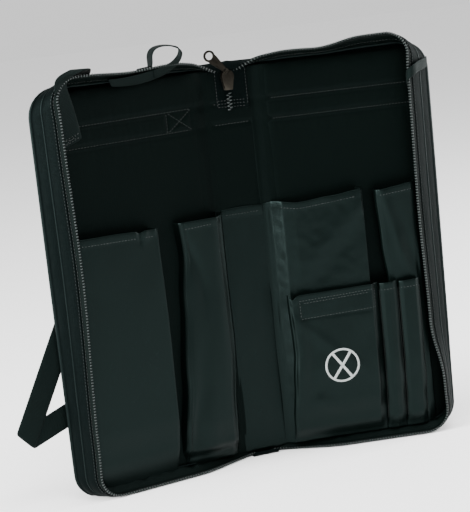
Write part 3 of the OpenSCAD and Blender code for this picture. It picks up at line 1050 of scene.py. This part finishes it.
class BAG_OT_tabs(bpy.types.Operator):
    """Makes the cloth tabs at both ends of the zip"""
    bl_idname = "bag.tabs"
    bl_label = "Zip end tabs"

    def execute(self, context):
        top = size("half_h")

        def upper(s, t):
            x = mix(-15, 24, s)
            z = mix(401, top - 3, t) - 1.5 * s
            edge = math.sin(math.pi * min(1, max(0, s)))
            n = 5.4 + 0.5 * edge ** 0.3 + 1.4 * hump(x, 3, 5) * hump(z, 401, 5)
            n += 0.2 * crumple((x, z, 2), 11) + 1.2 * hump(s, 0.97, 0.05)
            return at(SPINE, x, n, z)

        made, wide, tall = cloth("zip_top_cloth", 20, 26, upper, lambda p: Vector((0, -1, 0)),
                                 "cover_cloth", 1.0)
        declare(made, wide, tall, ["spine_pad"])
        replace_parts(made, "zip_top_tab")
        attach(made, "spine")
        tree = surface_of(made)
        for z in (403.5, 407.0, 410.5):
            seam_on("spine", tree, SPINE, [(-13, z), (22, z - 1.5)])
        for x in (-13.0, 22.0):
            seam_on("spine", tree, SPINE, [(x, 404), (x, 444)])

        def lower(s, t):
            x = mix(-15.5, 15.5, s)
            path = [(0, 2.4, 9), (0.2, 2.2, 1.4), (0.3, 1, 0.6), (0.75, -10, 0.6), (0.85, -11.4, 1.6),
                    (1, -11.5, 5)]
            y, z = polyline(path, t)
            z += 0.6 * (1 + crumple((x, t * 40, 4), 9)) * math.sin(math.pi * s)
            return Vector((x, y, z)) * MM

        made, wide, tall = cloth("zip_bottom_cloth", 16, 30, lower, lambda p: Vector((0, 0, 1)),
                                 "cover_cloth", 1.0, 1, 0.0)
        declare(made, wide, tall, ["spine_pad"])
        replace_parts(made, "zip_bottom_tab")
        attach(made, "spine")

        def cap(s, t):
            x = mix(-26, 26, s)
            z = 450 + 6.5 * math.sin(math.pi * t) * math.sin(math.pi * s) ** 0.5 - 7 * t
            n = mix(-0.5, 6.5, t)
            z += 1.2 * crumple((x, n * 2, 1), 8) * math.sin(math.pi * s)
            return at(SPINE, x, n, z)

        made, wide, tall = cloth("spine_top_cloth", 24, 10, cap, lambda p: Vector((0, 0, 1)),
                                 "cover_cloth", 1.0)
        declare(made, wide, tall, ["spine_pad"])
        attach(made, "spine")
        return {"FINISHED"}


# ---- pockets ----------------------------------------------------------------------------------
def pocket(name, node, side, shape, key="pocket_cloth", cells=(64, 72), bends=None, thick=0.9,
           rests=()):
    """Makes a pocket's cloth from a function of (s, z) that gives (u, n)."""
    made, wide, tall = cloth(name, cells[0], cells[1], shape, lambda p: facing(side), key, thick)
    declare(made, wide, tall, list(rests) or [HALVES[side] + "_pad"])
    if node:
        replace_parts(made, node)
    if bends:
        bend(made, side, *bends)
    else:
        ride_half(made, side)
    return made


def folded_hem(z, top):
    """The hem is folded double and stands a little proud."""
    return 0.55 * ease((z - (top - size("hem"))) / 1.2)


def wide_stick_pocket(s, t):
    top = 288.0
    z = mix(6, top, t)
    edge = table(z, [(10, 83), (60, 80), (170, 79), (290, 81)])
    out = table(z, [(10, 184), (100, 182), (290, 179)])
    full = table(z, [(6, 12.5), (40, 19.5), (75, 23), (290, 24.2)])
    rows = [(0, out + 1, 8.6), (0.08, out, full - 3.5), (0.12, out - 3, full - 0.8), (0.17, out - 8, full),
            (0.86, edge + 3, full + 0.6), (0.90, edge + 0.3, full + 0.2), (0.92, edge + 0.4, full - 2),
            (1, edge + 5, 8.6)]
    u, n = polyline(rows, s)
    q = (s - 0.17) / 0.69
    if 0 < q < 1:
        n += 0.9 * math.sin(math.pi * q) - 0.7 * hump(q, 0.5, 0.3)
        n += 1.3 * hump(z, 286, 9) * (hump(u, 97, 4) - 1.3 * hump(u, 103, 3))
        n += 0.4 * crumple((u * 0.4, z * 0.25, 1), 14)
        n += folded_hem(z, top)
    dip = -2.5 * hump(u, 103, 3) - 1.2 * (1 - ease((u - 84) / 60))
    lean = 2.0 * (u - 80) / 100
    return at(side=LEFT, u=u, n=n, z=z + (dip + lean) * ease((z - 240) / 48))


def mallet_pocket(s, t):
    top = 287.0
    z = mix(8, top, t)
    inner = table(z, [(8, 1), (60, 2), (150, -4), (290, -3)])
    outer = table(z, [(8, 74), (40, 71), (108, 63), (200, 55), (250, 50), (290, 53)])
    full = table(z, [(8, 9.5), (16, 12), (30, 19), (60, 22.5), (120, 23), (200, 22), (288, 23.5)])
    side_n = mix(full, 16, 0.35 * hump(z, 200, 90))
    rows = [(0, outer + 3, 8.6), (0.10, outer, side_n - 5), (0.16, outer - 3, side_n - 1.5),
            (0.24, outer - 8, side_n), (0.78, inner + 12, full + 1.2), (0.86, inner + 5, full - 0.6),
            (0.92, inner + 1.5, full - 5), (1, inner + 2, 6.2)]
    u, n = polyline(rows, s)
    q = (s - 0.2) / 0.62
    if 0 < q < 1:
        swell = math.sin(math.pi * q)
        n += 1.8 * swell
        n -= 3.4 * hump(u - (outer - 14) + 0.10 * (z - 60), 0, 9) * ease((200 - z) / 150) * ease(z / 40)
        n -= 2.2 * hump(u - mix(outer - 22, outer - 2, ease((z - 200) / 80)), 0, 6) * hump(z, 235, 45)
        n += 1.1 * hump(q, 0.78, 0.16) * hump(z, 150, 110)
        n += 0.9 * crumple((u * 0.9, z * 0.22, 3), 16)
        n += folded_hem(z, top)
    lift = 2.2 * ease((8 - u) / 12) - 0.5 * ease((u - 40) / 12)
    return at(side=LEFT, u=u, n=n, z=z + lift * ease((z - 240) / 48))


def rod_pocket(s, t):
    top = 292.0
    z = mix(7, top, t)
    out = table(z, [(7, 112), (290, 110)])
    full = table(z, [(7, 12.5), (40, 18), (75, 22), (292, 24)])
    rows = [(0, -4.0, 6.2), (0.06, 0.5, 6.8), (0.14, 7, 9.5), (0.24, 18, mix(10, full, 0.62)),
            (0.34, 32, mix(10, full, 0.9)), (0.44, 46, full), (0.86, out - 4, full + 0.8),
            (0.90, out - 0.6, full + 0.3), (0.925, out - 0.4, full - 2), (1, out - 5, 8.6)]
    u, n = polyline(rows, s)
    q = (s - 0.1) / 0.78
    if 0 < q < 1:
        slant = z - 0.9 * (u - 60)
        n += 1.2 * hump(slant, 235, 18) * ease((u - 20) / 40) - 0.9 * hump(slant, 210, 16)
        n += 0.9 * crumple((u * 0.5, z * 0.3, 6), 20) + 0.35 * crumple((u, z, 2), 9)
        n += 1.0 * hump(u, 100, 9) * hump(z, 275, 40)
        n += folded_hem(z, top)
    lift = table(u, [(-4, -2.5), (10, 0), (35, -3), (72, 0), (110, 4)])
    return at(side=RIGHT, u=u, n=n, z=z + lift * ease((z - 240) / 52))


def right_stick_pocket(s, t):
    top = 293.0
    z = mix(7, top, t)
    near = table(z, [(7, 126), (180, 132), (230, 127), (293, 123)])
    out = table(z, [(7, 178), (100, 176), (293, 172)])
    full = table(z, [(7, 12.5), (40, 18), (75, 21), (180, 20.5), (240, 23), (293, 24.5)])
    rows = [(0, near + 3, 8.6), (0.10, near, full - 5), (0.15, near + 1.5, full - 1.2), (0.2, near + 6, full),
            (0.84, out - 9, full + 0.2), (0.90, out - 2, full - 2), (1, out, 8.6)]
    u, n = polyline(rows, s)
    q = (s - 0.15) / 0.72
    if 0 < q < 1:
        n += 2.2 * math.sin(math.pi * q) * (0.4 + 0.6 * hump(z, 285, 60))
        crease = near + 9 + 0.16 * (290 - z)
        n += (1.7 * hump(u, crease, 5) * ease((z - 180) / 40)
              - 1.3 * hump(u, crease + 12, 6) * hump(z, 225, 40))
        n += 0.7 * crumple((u, z * 0.3, 8), 14)
        n += folded_hem(z, top)
    lift = table(u, [(123, -1.0), (172, 3.5)])
    return at(side=RIGHT, u=u, n=n, z=z + lift * ease((z - 240) / 52))


FRONT_TOP = 185.0


def front_pocket(s, t):
    z = mix(10, FRONT_TOP, t)
    near = table(z, [(10, 8), (40, 8), (81, 11), (119, 14), (185, 12)])
    out = 117.5
    back = table(z, [(10, 14.5), (40, 19), (75, 23.5), (185, 25)])
    full = table(z, [(10, 17), (30, 25), (60, 30.5), (100, 33), (185, 33)])
    rows = [(0, near + 2, back - 4), (0.05, near - 0.5, mix(back, full, 0.3)),
            (0.10, near + 1, mix(back, full, 0.75)), (0.15, near + 5, full + 0.2),
            (0.2, near + 10, full + 0.4),
            (0.9, out - 9, full - 0.5), (0.97, out - 1.5, back + 1.8), (1, out, back + 0.9)]
    u, n = polyline(rows, s)
    q = (s - 0.12) / 0.8
    if 0 < q < 1:
        n += 1.2 * math.sin(math.pi * q) * hump(z, 90, 70)
        n += 1.3 * hump(u - near, 9, 6) * hump(z, 120, 60) - 1.4 * hump(u - near, 22, 7) * hump(z, 120, 50)
        star = z - 118 + 0.9 * (u - 60)
        n += 0.9 * hump(star, 0, 9) - 0.8 * hump(z - 72 - 0.8 * (u - 40), 0, 8) * hump(u, 40, 26)
        n += 0.9 * hump(z - 58 + 0.5 * (u - 40), 0, 9) * hump(u, 45, 26)
        n += 0.7 * crumple((u * 0.7, z * 0.5, 9), 15)
        n += folded_hem(z, FRONT_TOP)
        frame_press = 0.5 * (hump(z, 157, 1.6) + hump(z, 178, 1.6)) * (1 if 24 < u < 113 else 0)
        n -= frame_press
    dip = -4.5 * hump(u, near + 5, 3.5) + 1.5 * hump(u, near - 0.5, 2.5) + 2.0 * (u - 20) / 97
    return at(side=RIGHT, u=u, n=n, z=z + dip * ease((z - 150) / 35))


def pen_pocket(first, last, lift, swell):
    def shape(s, t):
        z = mix(10, FRONT_TOP + lift, t)
        back = table(z, [(10, 14.5), (40, 19), (75, 23.5), (185, 24.8)])
        full = table(z, [(10, 17), (30, 24), (60, 28), (100, 30.5), (185, 31)])
        rows = [(0, first, back + 0.9), (0.12, first + 1.6, mix(back, full, 0.55)),
                (0.3, first + 6, full - 0.3), (0.5, (first + last) / 2, full + swell),
                (0.7, last - 6, full - 0.4), (0.88, last - 1.6, mix(back, full, 0.5)), (1, last, back + 0.9)]
        u, n = polyline(rows, s)
        n += 0.5 * crumple((u, z * 0.3, 4), 12) + folded_hem(z, FRONT_TOP + lift) * math.sin(math.pi * s)
        return at(side=RIGHT, u=u, n=n, z=z + 0.05 * (u - first) * ease((z - 150) / 35))
    return shape


def spine_pocket(s, t):
    z = mix(6, 289, t)
    x = mix(-22.5, 27.5, s)
    n = 5.8 + 0.7 * math.sin(math.pi * s) + 0.6 * crumple((x, z * 0.25, 7), 14)
    n += folded_hem(z, 289) - 0.7 * hump(s, 0.04, 0.05)
    return at(SPINE, x, n, z + 1.5 * ease((z - 240) / 49) * math.sin(math.pi * s))


class BAG_OT_stick_pockets(bpy.types.Operator):
    """Makes the four tall pockets and the cloth that joins them over the spine"""
    bl_idname = "bag.stick_pockets"
    bl_label = "Stick pockets"

    def execute(self, context):
        left = pocket("wide_pocket_cloth", "wide_stick_pocket", LEFT, wide_stick_pocket, cells=(90, 90))
        mallet = pocket("mallet_pocket_cloth", "mallet_pocket", LEFT, mallet_pocket, cells=(72, 90),
                        bends=(24, 44))
        rod = pocket("rod_pocket_cloth", "rod_pocket", RIGHT, rod_pocket, cells=(90, 90), bends=(26, 46))
        right = pocket("right_pocket_cloth", "right_stick_pocket", RIGHT, right_stick_pocket, cells=(60, 90))
        made, wide, tall = cloth("spine_pocket_cloth", 24, 80, spine_pocket,
                                 lambda p: Vector((0, -1, 0)), "pocket_cloth", 0.9)
        declare(made, wide, tall, ["spine_pad"])
        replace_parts(made, "spine_pocket_panel")
        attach(made, "spine")
        hem = size("hem") - 1.5
        seam_on("left_half", surface_of(left), LEFT, [(176, 289.5 - hem), (106, 287 - hem)])
        seam_on("left_half", surface_of(left), LEFT, [(98, 287 - hem), (85, 286 - hem)])
        seam_on("left_half", surface_of(mallet), LEFT, [(48, 286 - hem), (14, 288 - hem)])
        seam_on("right_half", surface_of(rod), RIGHT, [(16, 292 - hem), (35, 289 - hem), (72, 292 - hem),
                                                       (104, 295.5 - hem)])
        seam_on("right_half", surface_of(right), RIGHT, [(128, 293 - hem), (168, 296 - hem)])
        seam_on("spine", surface_of(made), SPINE, [(-18, 290 - hem), (24, 290 - hem)])
        return {"FINISHED"}


class BAG_OT_front_pockets(bpy.types.Operator):
    """Makes the front pocket, the two pen pockets and the hook and loop closure"""
    bl_idname = "bag.front_pockets"
    bl_label = "Front pockets"

    def execute(self, context):
        rests = ["rod_pocket_cloth", "right_pocket_cloth"]
        front = pocket("front_pocket_cloth", "front_pocket", RIGHT, front_pocket, cells=(110, 76),
                       rests=rests)
        inner = pocket("inner_pen_cloth", "inner_pen_pocket", RIGHT, pen_pocket(117.5, 140.5, 0.6, 0.8),
                       cells=(26, 60), rests=rests)
        outer = pocket("outer_pen_cloth", "outer_pen_pocket", RIGHT, pen_pocket(140.5, 166, 0.2, 0.0),
                       cells=(26, 60), rests=rests)
        tree = surface_of(front)
        low, high, near, far = 157, 178, 25, 112
        seam_on("right_half", tree, RIGHT, [(near, low), (far, low + 3), (far, high + 3), (near, high),
                                            (near, low)])
        seam_on("right_half", tree, RIGHT, [(near + 4, high - 3), (far - 4, high)])
        for target, edges in ((inner, (118.5, 139.5)), (outer, (141.5, 165))):
            tree = surface_of(target)
            for u in edges:
                seam_on("right_half", tree, RIGHT, [(u, 24), (u, 180)])
            seam_on("right_half", tree, RIGHT, [(edges[0] + 1, 177.5), (edges[1] - 1, 178.5)])
        for name, node, n in (("hook_tape", "hook_strip", 25.0), ("loop_tape", "loop_strip", 30.9)):
            def strip(s, t):
                u, z = mix(23, 109, s), mix(159, 179, t)
                return at(RIGHT, u, n + 0.25 * crumple((u, z, n), 2.5), z)

            way = facing(RIGHT) if name == "hook_tape" else -facing(RIGHT)
            made, wide, tall = cloth(name, 60, 16, strip, lambda p: way, "hook_tape", 0.7)
            declare(made, wide, tall, ["front_pocket_cloth"])
            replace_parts(made, node)
            ride_half(made, RIGHT)
        return {"FINISHED"}


class BAG_OT_emblem(bpy.types.Operator):
    """Prints two crossed sticks in a ring on the front pocket"""
    bl_idname = "bag.emblem"
    bl_label = "Print"

    def execute(self, context):
        tree = surface_of(bpy.data.objects["front_pocket_cloth"])
        out = facing(RIGHT)
        bm = bmesh.new()
        bm.from_mesh(frame["nodes"]["emblem_print"].data)
        bmesh.ops.remove_doubles(bm, verts=bm.verts, dist=1e-6)
        bm.normal_update()
        hidden = [f for f in bm.faces if f.normal.dot(out) < 0.9]
        bmesh.ops.delete(bm, geom=hidden, context="FACES")
        low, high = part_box("emblem_print")
        for k in range(1, 22):
            share = k / 22
            for axis, way in ((0, Vector((1, 0, 0))), (2, Vector((0, 0, 1)))):
                place = Vector((low.x, low.y, low.z))
                place[axis] = mix(low[axis], high[axis], share)
                bmesh.ops.bisect_plane(bm, geom=bm.verts[:] + bm.edges[:] + bm.faces[:], plane_co=place,
                                       plane_no=way)
        for v in bm.verts:
            u, _, z = half_frame(RIGHT, v.co)
            place = dropped(tree, RIGHT, u, z, 0.12)
            if place is not None:
                v.co = place
        made = piece(bm, "crossed_sticks_print", "print_silver")
        solid = made.modifiers.new("ink", "SOLIDIFY")
        solid.thickness = 0.12 * MM
        solid.offset = 1.0
        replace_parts(made, "emblem_print")
        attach(made, "right_half")
        return {"FINISHED"}


# ---- webbing ------------------------------------------------------------------------------------
class BAG_OT_bands(bpy.types.Operator):
    """Makes the webbing band round the outside of the bag"""
    bl_idname = "bag.bands"
    bl_label = "Outer band"

    def execute(self, context):
        low, high = 385, 410
        count = 26
        for side in (LEFT, SPINE, RIGHT):
            start, end = (-26, 26) if side == SPINE else (5, 190)
            edges = []
            for z in (low, high):
                edges.append([at(side, mix(start, end, k / count), -0.9 - 0.25 * crumple((k, z, side), 4), z)
                              for k in range(count + 1)])
            out = -facing(side) if side != SPINE else Vector((0, 1, 0))
            name = HALVES.get(side, "spine")
            made = ribbon(name + "_outer_band", edges, 1.2, lambda p: out, ["spine_pad"])
            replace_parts(made, name + "_band")
            ride_half(made, side)
            group = "spine" if side == SPINE else name + "_half"
            for z in (low + 2.5, high - 2.5):
                line = [at(side, mix(start, end, k / count), -1.75, z) for k in range(count + 1)]
                sew(group, line, lambda p: out)
        for side in (LEFT, RIGHT):
            edges = []
            for z in (low, high):
                edges.append([at(side, mix(-8, 8, k / 10), -0.95 - 0.4 * math.sin(math.pi * k / 10), z)
                              for k in range(11)])
            out = -facing(side)
            made = ribbon(HALVES[side] + "_band_crossing", edges, 1.2, lambda p: out, ["spine_pad"])
            bend(made, side, 23, 37)
        return {"FINISHED"}


def strap_along(name, side, rows, thick=1.3, away=None, rests=("left_pad",)):
    """Webbing through rows of (edge point, edge point), each (u, n, z)."""
    first, second = ([at(side, *row[k]) for row in rows] for k in (0, 1))
    counts = cell_counts(first, 4 * MM)
    one, two = smooth_line(first, counts), smooth_line(second, counts)
    return ribbon(name, (one, two), thick, away or (lambda p: facing(side)), list(rests))


class BAG_OT_corner_straps(bpy.types.Operator):
    """Makes the webbing that is folded over the rims near the upper corners"""
    bl_idname = "bag.corner_straps"
    bl_label = "Corner straps"

    def execute(self, context):
        rows = [((150, 9.6, 394), (173, 9.8, 386)), ((152, 10.5, 408), (176, 11, 400)),
                ((157, 14, 430), (178, 16, 424)), ((163, 19, 448), (180, 23, 441)),
                ((165, 24, 456), (182.5, 29.2, 449)), ((160, 27.5, 462.5), (182, 30.2, 459)),
                ((151, 30, 466), (176, 29.6, 465)), ((141, 29, 468), (163, 26.5, 469)),
                ((135, 21, 466.5), (157, 18, 467.5)), ((132, 11, 461.5), (154, 9, 461.5)),
                ((132, 2.5, 456), (154, 1.6, 456))]
        made = strap_along("left_corner_webbing", LEFT, rows, rests=["left_pad", "left_gusset_cloth"])
        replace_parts(made, "left_corner_strap")
        ride_half(made, LEFT)
        tree = surface_of(made)
        for a, b in (((153, 396), (172, 389)), ((153, 401), (173, 394)), ((153, 396), (173, 394)),
                     ((153, 401), (172, 389))):
            seam_on("left_half", tree, LEFT, [a, b])
        rows = [((201.4, 3, 421), (201.4, 3, 433)), ((195.2, 12, 419.5), (195.2, 12, 431.5)),
                ((185.8, 22.5, 418), (185.8, 22.5, 430)), ((180.7, 28.8, 416), (180.7, 28.8, 428)),
                ((175.5, 31, 413.5), (175.5, 31, 425.5)), ((171, 29.4, 410), (171, 29.4, 422)),
                ((171.5, 23.5, 405), (171.5, 23.5, 417)), ((175.5, 16.5, 399), (175.5, 16.5, 411)),
                ((178, 11, 393), (178, 11, 405))]
        made = strap_along("right_corner_webbing", RIGHT, rows, rests=["right_pad", "right_gusset_cloth"])
        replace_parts(made, "right_corner_strap")
        ride_half(made, RIGHT)
        return {"FINISHED"}


class BAG_OT_hand_loop(bpy.types.Operator):
    """Makes the hand loop on the left half's top wall"""
    bl_idname = "bag.hand_loop"
    bl_label = "Hand loop"

    def execute(self, context):
        foot_z = size("half_h") + 12 * 14 / 27
        centre = at(LEFT, 44, 14, foot_z + 10)
        rows = [((62, 3, 453.5), (62, 16, 459)), ((60.5, 2, 462), (60.5, 16, 464.5)),
                ((60.5, 1.5, 470), (59.5, 15, 471.5)), ((57, 2, 477), (55, 15, 477.5)),
                ((49, 3, 480), (46, 16, 479.5)), ((40, 6, 480), (36.5, 18, 478.5)),
                ((33, 13, 478.5), (30, 22, 474.5)), ((31, 20, 477), (28, 24.5, 470)),
                ((35, 26.5, 470), (31, 23, 462)), ((44, 27.4, 462.8), (39, 20.4, 454.5)),
                ((56, 26.6, 458.6), (52, 18, 448)), ((66, 26, 456.6), (62, 17.4, 445.6))]
        made = strap_along("hand_loop_webbing", LEFT, rows, rests=["left_gusset_cloth"],
                           away=lambda p: p - centre)
        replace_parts(made, "handle_loop")
        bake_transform(made)
        rows = [((62, 3, 455), (62, 15.5, 460.5)), ((70, 3, 454.2), (70, 15.5, 459.8)),
                ((80, 3, 453.4), (80, 15.5, 459.2))]
        made = strap_along("hand_loop_foot", LEFT, rows, rests=["left_gusset_cloth"],
                           away=lambda p: Vector((0, 0, 1)))
        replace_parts(made, "handle_anchors")
        ride_half(made, LEFT)
        rows = [((118, 22.4, 453.6), (112, 15.5, 444.6)), ((106, 22.3, 453), (100, 14.5, 443)),
                ((88, 22.6, 453.8), (82, 14.0, 442.4)), ((70, 23.6, 456), (66, 15.0, 444.4)),
                ((54, 25.2, 458.8), (50, 16.8, 448.2))]
        made = strap_along("hand_loop_run", LEFT, rows, rests=["left_gusset_facing"])
        ride_half(made, LEFT)
        return {"FINISHED"}


STRAP_N = -7.9
RING_U = 18
RING_N = -5.2
FOLD_LINE = ((261.0, 88.0), (242.0, 67.0))


class BAG_OT_shoulder_strap(bpy.types.Operator):
    """Makes the shoulder strap with its rings, ring tabs and adjuster"""
    bl_idname = "bag.shoulder_strap"
    bl_label = "Shoulder strap"

    def execute(self, context):
        back = -facing(LEFT)
        up_way = (-math.sin(math.radians(28)), math.cos(math.radians(28)))
        in_way = (-math.cos(math.radians(19)), math.sin(math.radians(19)))
        top_z = 438.0
        layer = 1.3             # the long run lies over the short one

        def bow(share):
            return 2.0 * math.sin(math.pi * share)

        def lay(name, rows, thick=1.3, body="strap"):
            made = strap_along(name, LEFT, rows, thick, lambda p: back)
            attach(made, body)
            return made

        rows = []
        for k in range(25):
            share = k / 24
            pair = []
            for p in FOLD_LINE:
                reach = (top_z - p[1]) / up_way[1] * share
                pair.append((p[0] + up_way[0] * reach, STRAP_N + layer - 0.2 * bow(share),
                             p[1] + up_way[1] * reach))
            rows.append(tuple(pair))
        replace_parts(lay("shoulder_strap_long_run", rows), "shoulder_strap")
        ring_side = 53.0
        rows = []
        for k in range(15):
            share = k / 14
            pair = []
            for p in FOLD_LINE:
                reach = (p[0] - ring_side) / -in_way[0] * share
                pair.append((p[0] + in_way[0] * reach, STRAP_N - 0.5 * bow(share), p[1] + in_way[1] * reach))
            rows.append(tuple(pair))
        lay("shoulder_strap_short_run", rows)
        ends = [p[0] + up_way[0] * (top_z - p[1]) / up_way[1] for p in FOLD_LINE]
        rows = [((u, STRAP_N, 414), (u, STRAP_N, 438)) for u in (53, 70, 90, max(ends))]
        lay("shoulder_strap_stub", rows)
        for z, name in ((426.0, "upper"), (147.0, "lower")):
            turn = []
            for k in range(15):
                a = math.radians(-90 - 270 * k / 14)
                turn.append((35 - 2.7 * math.cos(a), RING_N + 2.7 * math.sin(a)))
            path = [(62, -7.9), (50, -7.9), (40, -7.9)] + turn + [(42, -5.6), (52, -6.3)]
            rows = [((u, n, z - 12), (u, n, z + 12)) for u, n in path]
            lay("strap_turn_" + name, rows, 1.0)
            eye = []
            for k in range(11):
                a = math.radians(40 - 26 * k)
                eye.append((RING_U - 2.4 * math.cos(a), RING_N + 2.4 * math.sin(a)))
            path = [(7, -1.1), (12, -2.2)] + eye + [(12, -1.0), (6, -0.5)]
            rows = [((u, n, z - 12), (u, n, z + 12)) for u, n in path]
            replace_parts(lay("ring_tab_" + name, rows, 1.0, "left_half"), name + "_ring_tab")
            made = node_copy(name + "_ring", "ring_" + name, "ring_metal", 0)
            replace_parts(made, name + "_ring")
            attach(made, "strap")
        made = node_copy("strap_adjuster", "tri_glide", "adjuster_plastic", 0.5, 3)
        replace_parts(made, "strap_adjuster")
        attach(made, "strap")
        return {"FINISHED"}


class BAG_OT_stitching(bpy.types.Operator):
    """Makes the kept rows of stitches into one piece for each body"""
    bl_idname = "bag.stitching"
    bl_label = "Stitching"

    def execute(self, context):
        for group in sorted(THREADS):
            bm = bmesh.new()
            strew(bm, THREADS[group])
            made = piece(bm, "stitches_" + group, "thread")
            if group.endswith("_rim"):
                bend(made, LEFT if group.startswith("left") else RIGHT, *WALL_SPAN)
            else:
                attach(made, group)
        return {"FINISHED"}


# ---- stage --------------------------------------------------------------------------------------
def lamp(name, place, aim, wide, tall, power):
    data = bpy.data.lights.new(name, "AREA")
    data.shape = "RECTANGLE"
    data.size = wide
    data.size_y = tall
    data.energy = power
    made = bpy.data.objects.new(name, data)
    bpy.context.scene.collection.objects.link(made)
    made.location = place
    made.rotation_mode = "QUATERNION"
    made.rotation_quaternion = (Vector(aim) - Vector(place)).to_track_quat("-Z", "Y")
    return made


class BAG_OT_stage(bpy.types.Operator):
    """Sets up the floor, the soft lights and the camera"""
    bl_idname = "bag.stage"
    bl_label = "Stage"

    def execute(self, context):
        scene = bpy.context.scene
        bm = bmesh.new()
        bmesh.ops.create_grid(bm, x_segments=1, y_segments=1, size=0.5)
        bmesh.ops.scale(bm, vec=(14, 14, 1), verts=bm.verts)
        mesh = bpy.data.meshes.new("studio_floor")
        bm.to_mesh(mesh)
        bm.free()
        floor = bpy.data.objects.new("studio_floor", mesh)
        scene.collection.objects.link(floor)
        made, nodes, links, shader = blank("matt white paper", colours().floor, 0.9)
        place = add(nodes, links, "ShaderNodeTexCoord").outputs["Object"]
        tooth = add(nodes, links, "ShaderNodeTexNoise", Vector=place, Scale=400.0)
        relief = add(nodes, links, "ShaderNodeBump", Strength=0.02, Height=tooth.outputs[0])
        links.new(relief.outputs[0], shader.inputs["Normal"])
        mesh.materials.append(made)
        world = bpy.data.worlds.new("studio")
        scene.world = world
        world.use_nodes = True
        world.node_tree.nodes["Background"].inputs[0].default_value = (1, 1, 1, 1)
        world.node_tree.nodes["Background"].inputs[1].default_value = 1.0
        aim = (0, -0.02, 0.22)
        lamp("left softbox", (-2.2, -0.55, 0.9), aim, 0.8, 1.5, 185)
        lamp("right softbox", (2.2, -0.1, 0.9), aim, 0.8, 1.5, 100)
        lamp("top softbox", (0.1, -0.7, 2.0), aim, 1.6, 1.0, 45)
        data = bpy.data.cameras.new("camera")
        data.sensor_width = 36
        data.lens = 118.38
        camera = bpy.data.objects.new("camera", data)
        scene.collection.objects.link(camera)
        scene.camera = camera
        turn, down, roll = (math.radians(a) for a in (17.41, 11.26, 6.03))
        ahead = Vector((math.sin(turn) * math.cos(down), math.cos(turn) * math.cos(down), -math.sin(down)))
        across = ahead.cross(Vector((0, 0, 1))).normalized()
        upward = across.cross(ahead)
        x = across * math.cos(roll) - upward * math.sin(roll)
        y = across * math.sin(roll) + upward * math.cos(roll)
        camera.location = Vector((-566.8, -1777.2, 604.9)) * MM
        camera.rotation_mode = "QUATERNION"
        camera.rotation_quaternion = Matrix((x, y, -ahead)).transposed().to_quaternion()
        return {"FINISHED"}


OPERATORS = (
    BAG_OT_pads, BAG_OT_covers, BAG_OT_folds, BAG_OT_walls, BAG_OT_zip, BAG_OT_slider, BAG_OT_tabs,
    BAG_OT_stick_pockets, BAG_OT_front_pockets, BAG_OT_emblem, BAG_OT_bands, BAG_OT_corner_straps,
    BAG_OT_hand_loop, BAG_OT_shoulder_strap, BAG_OT_stitching, BAG_OT_stage,
)


class BAG_PT_panel(bpy.types.Panel):
    """Lists the steps that build the bag"""
    bl_idname = "BAG_PT_panel"
    bl_label = "Stick Bag"
    bl_space_type = "VIEW_3D"
    bl_region_type = "UI"
    bl_category = "Stick Bag"

    def draw(self, context):
        for group in (context.scene.bag_sizes, context.scene.bag_colours):
            column = self.layout.column()
            for key in type(group).__annotations__:
                column.prop(group, key)
        for step in OPERATORS:
            self.layout.operator(step.bl_idname)


CLASSES = (BagSizes, BagColours, *OPERATORS, BAG_PT_panel)


def register():
    for item in CLASSES:
        bpy.utils.register_class(item)
    bpy.types.Scene.bag_sizes = PointerProperty(type=BagSizes)
    bpy.types.Scene.bag_colours = PointerProperty(type=BagColours)


def unregister():
    del bpy.types.Scene.bag_colours
    del bpy.types.Scene.bag_sizes
    for item in reversed(CLASSES):
        bpy.utils.unregister_class(item)


def main():
    register()
    make_materials()
    for step in OPERATORS:
        group, name = step.bl_idname.split(".")
        getattr(getattr(bpy.ops, group), name)()


if __name__ == "__main__":
    main()
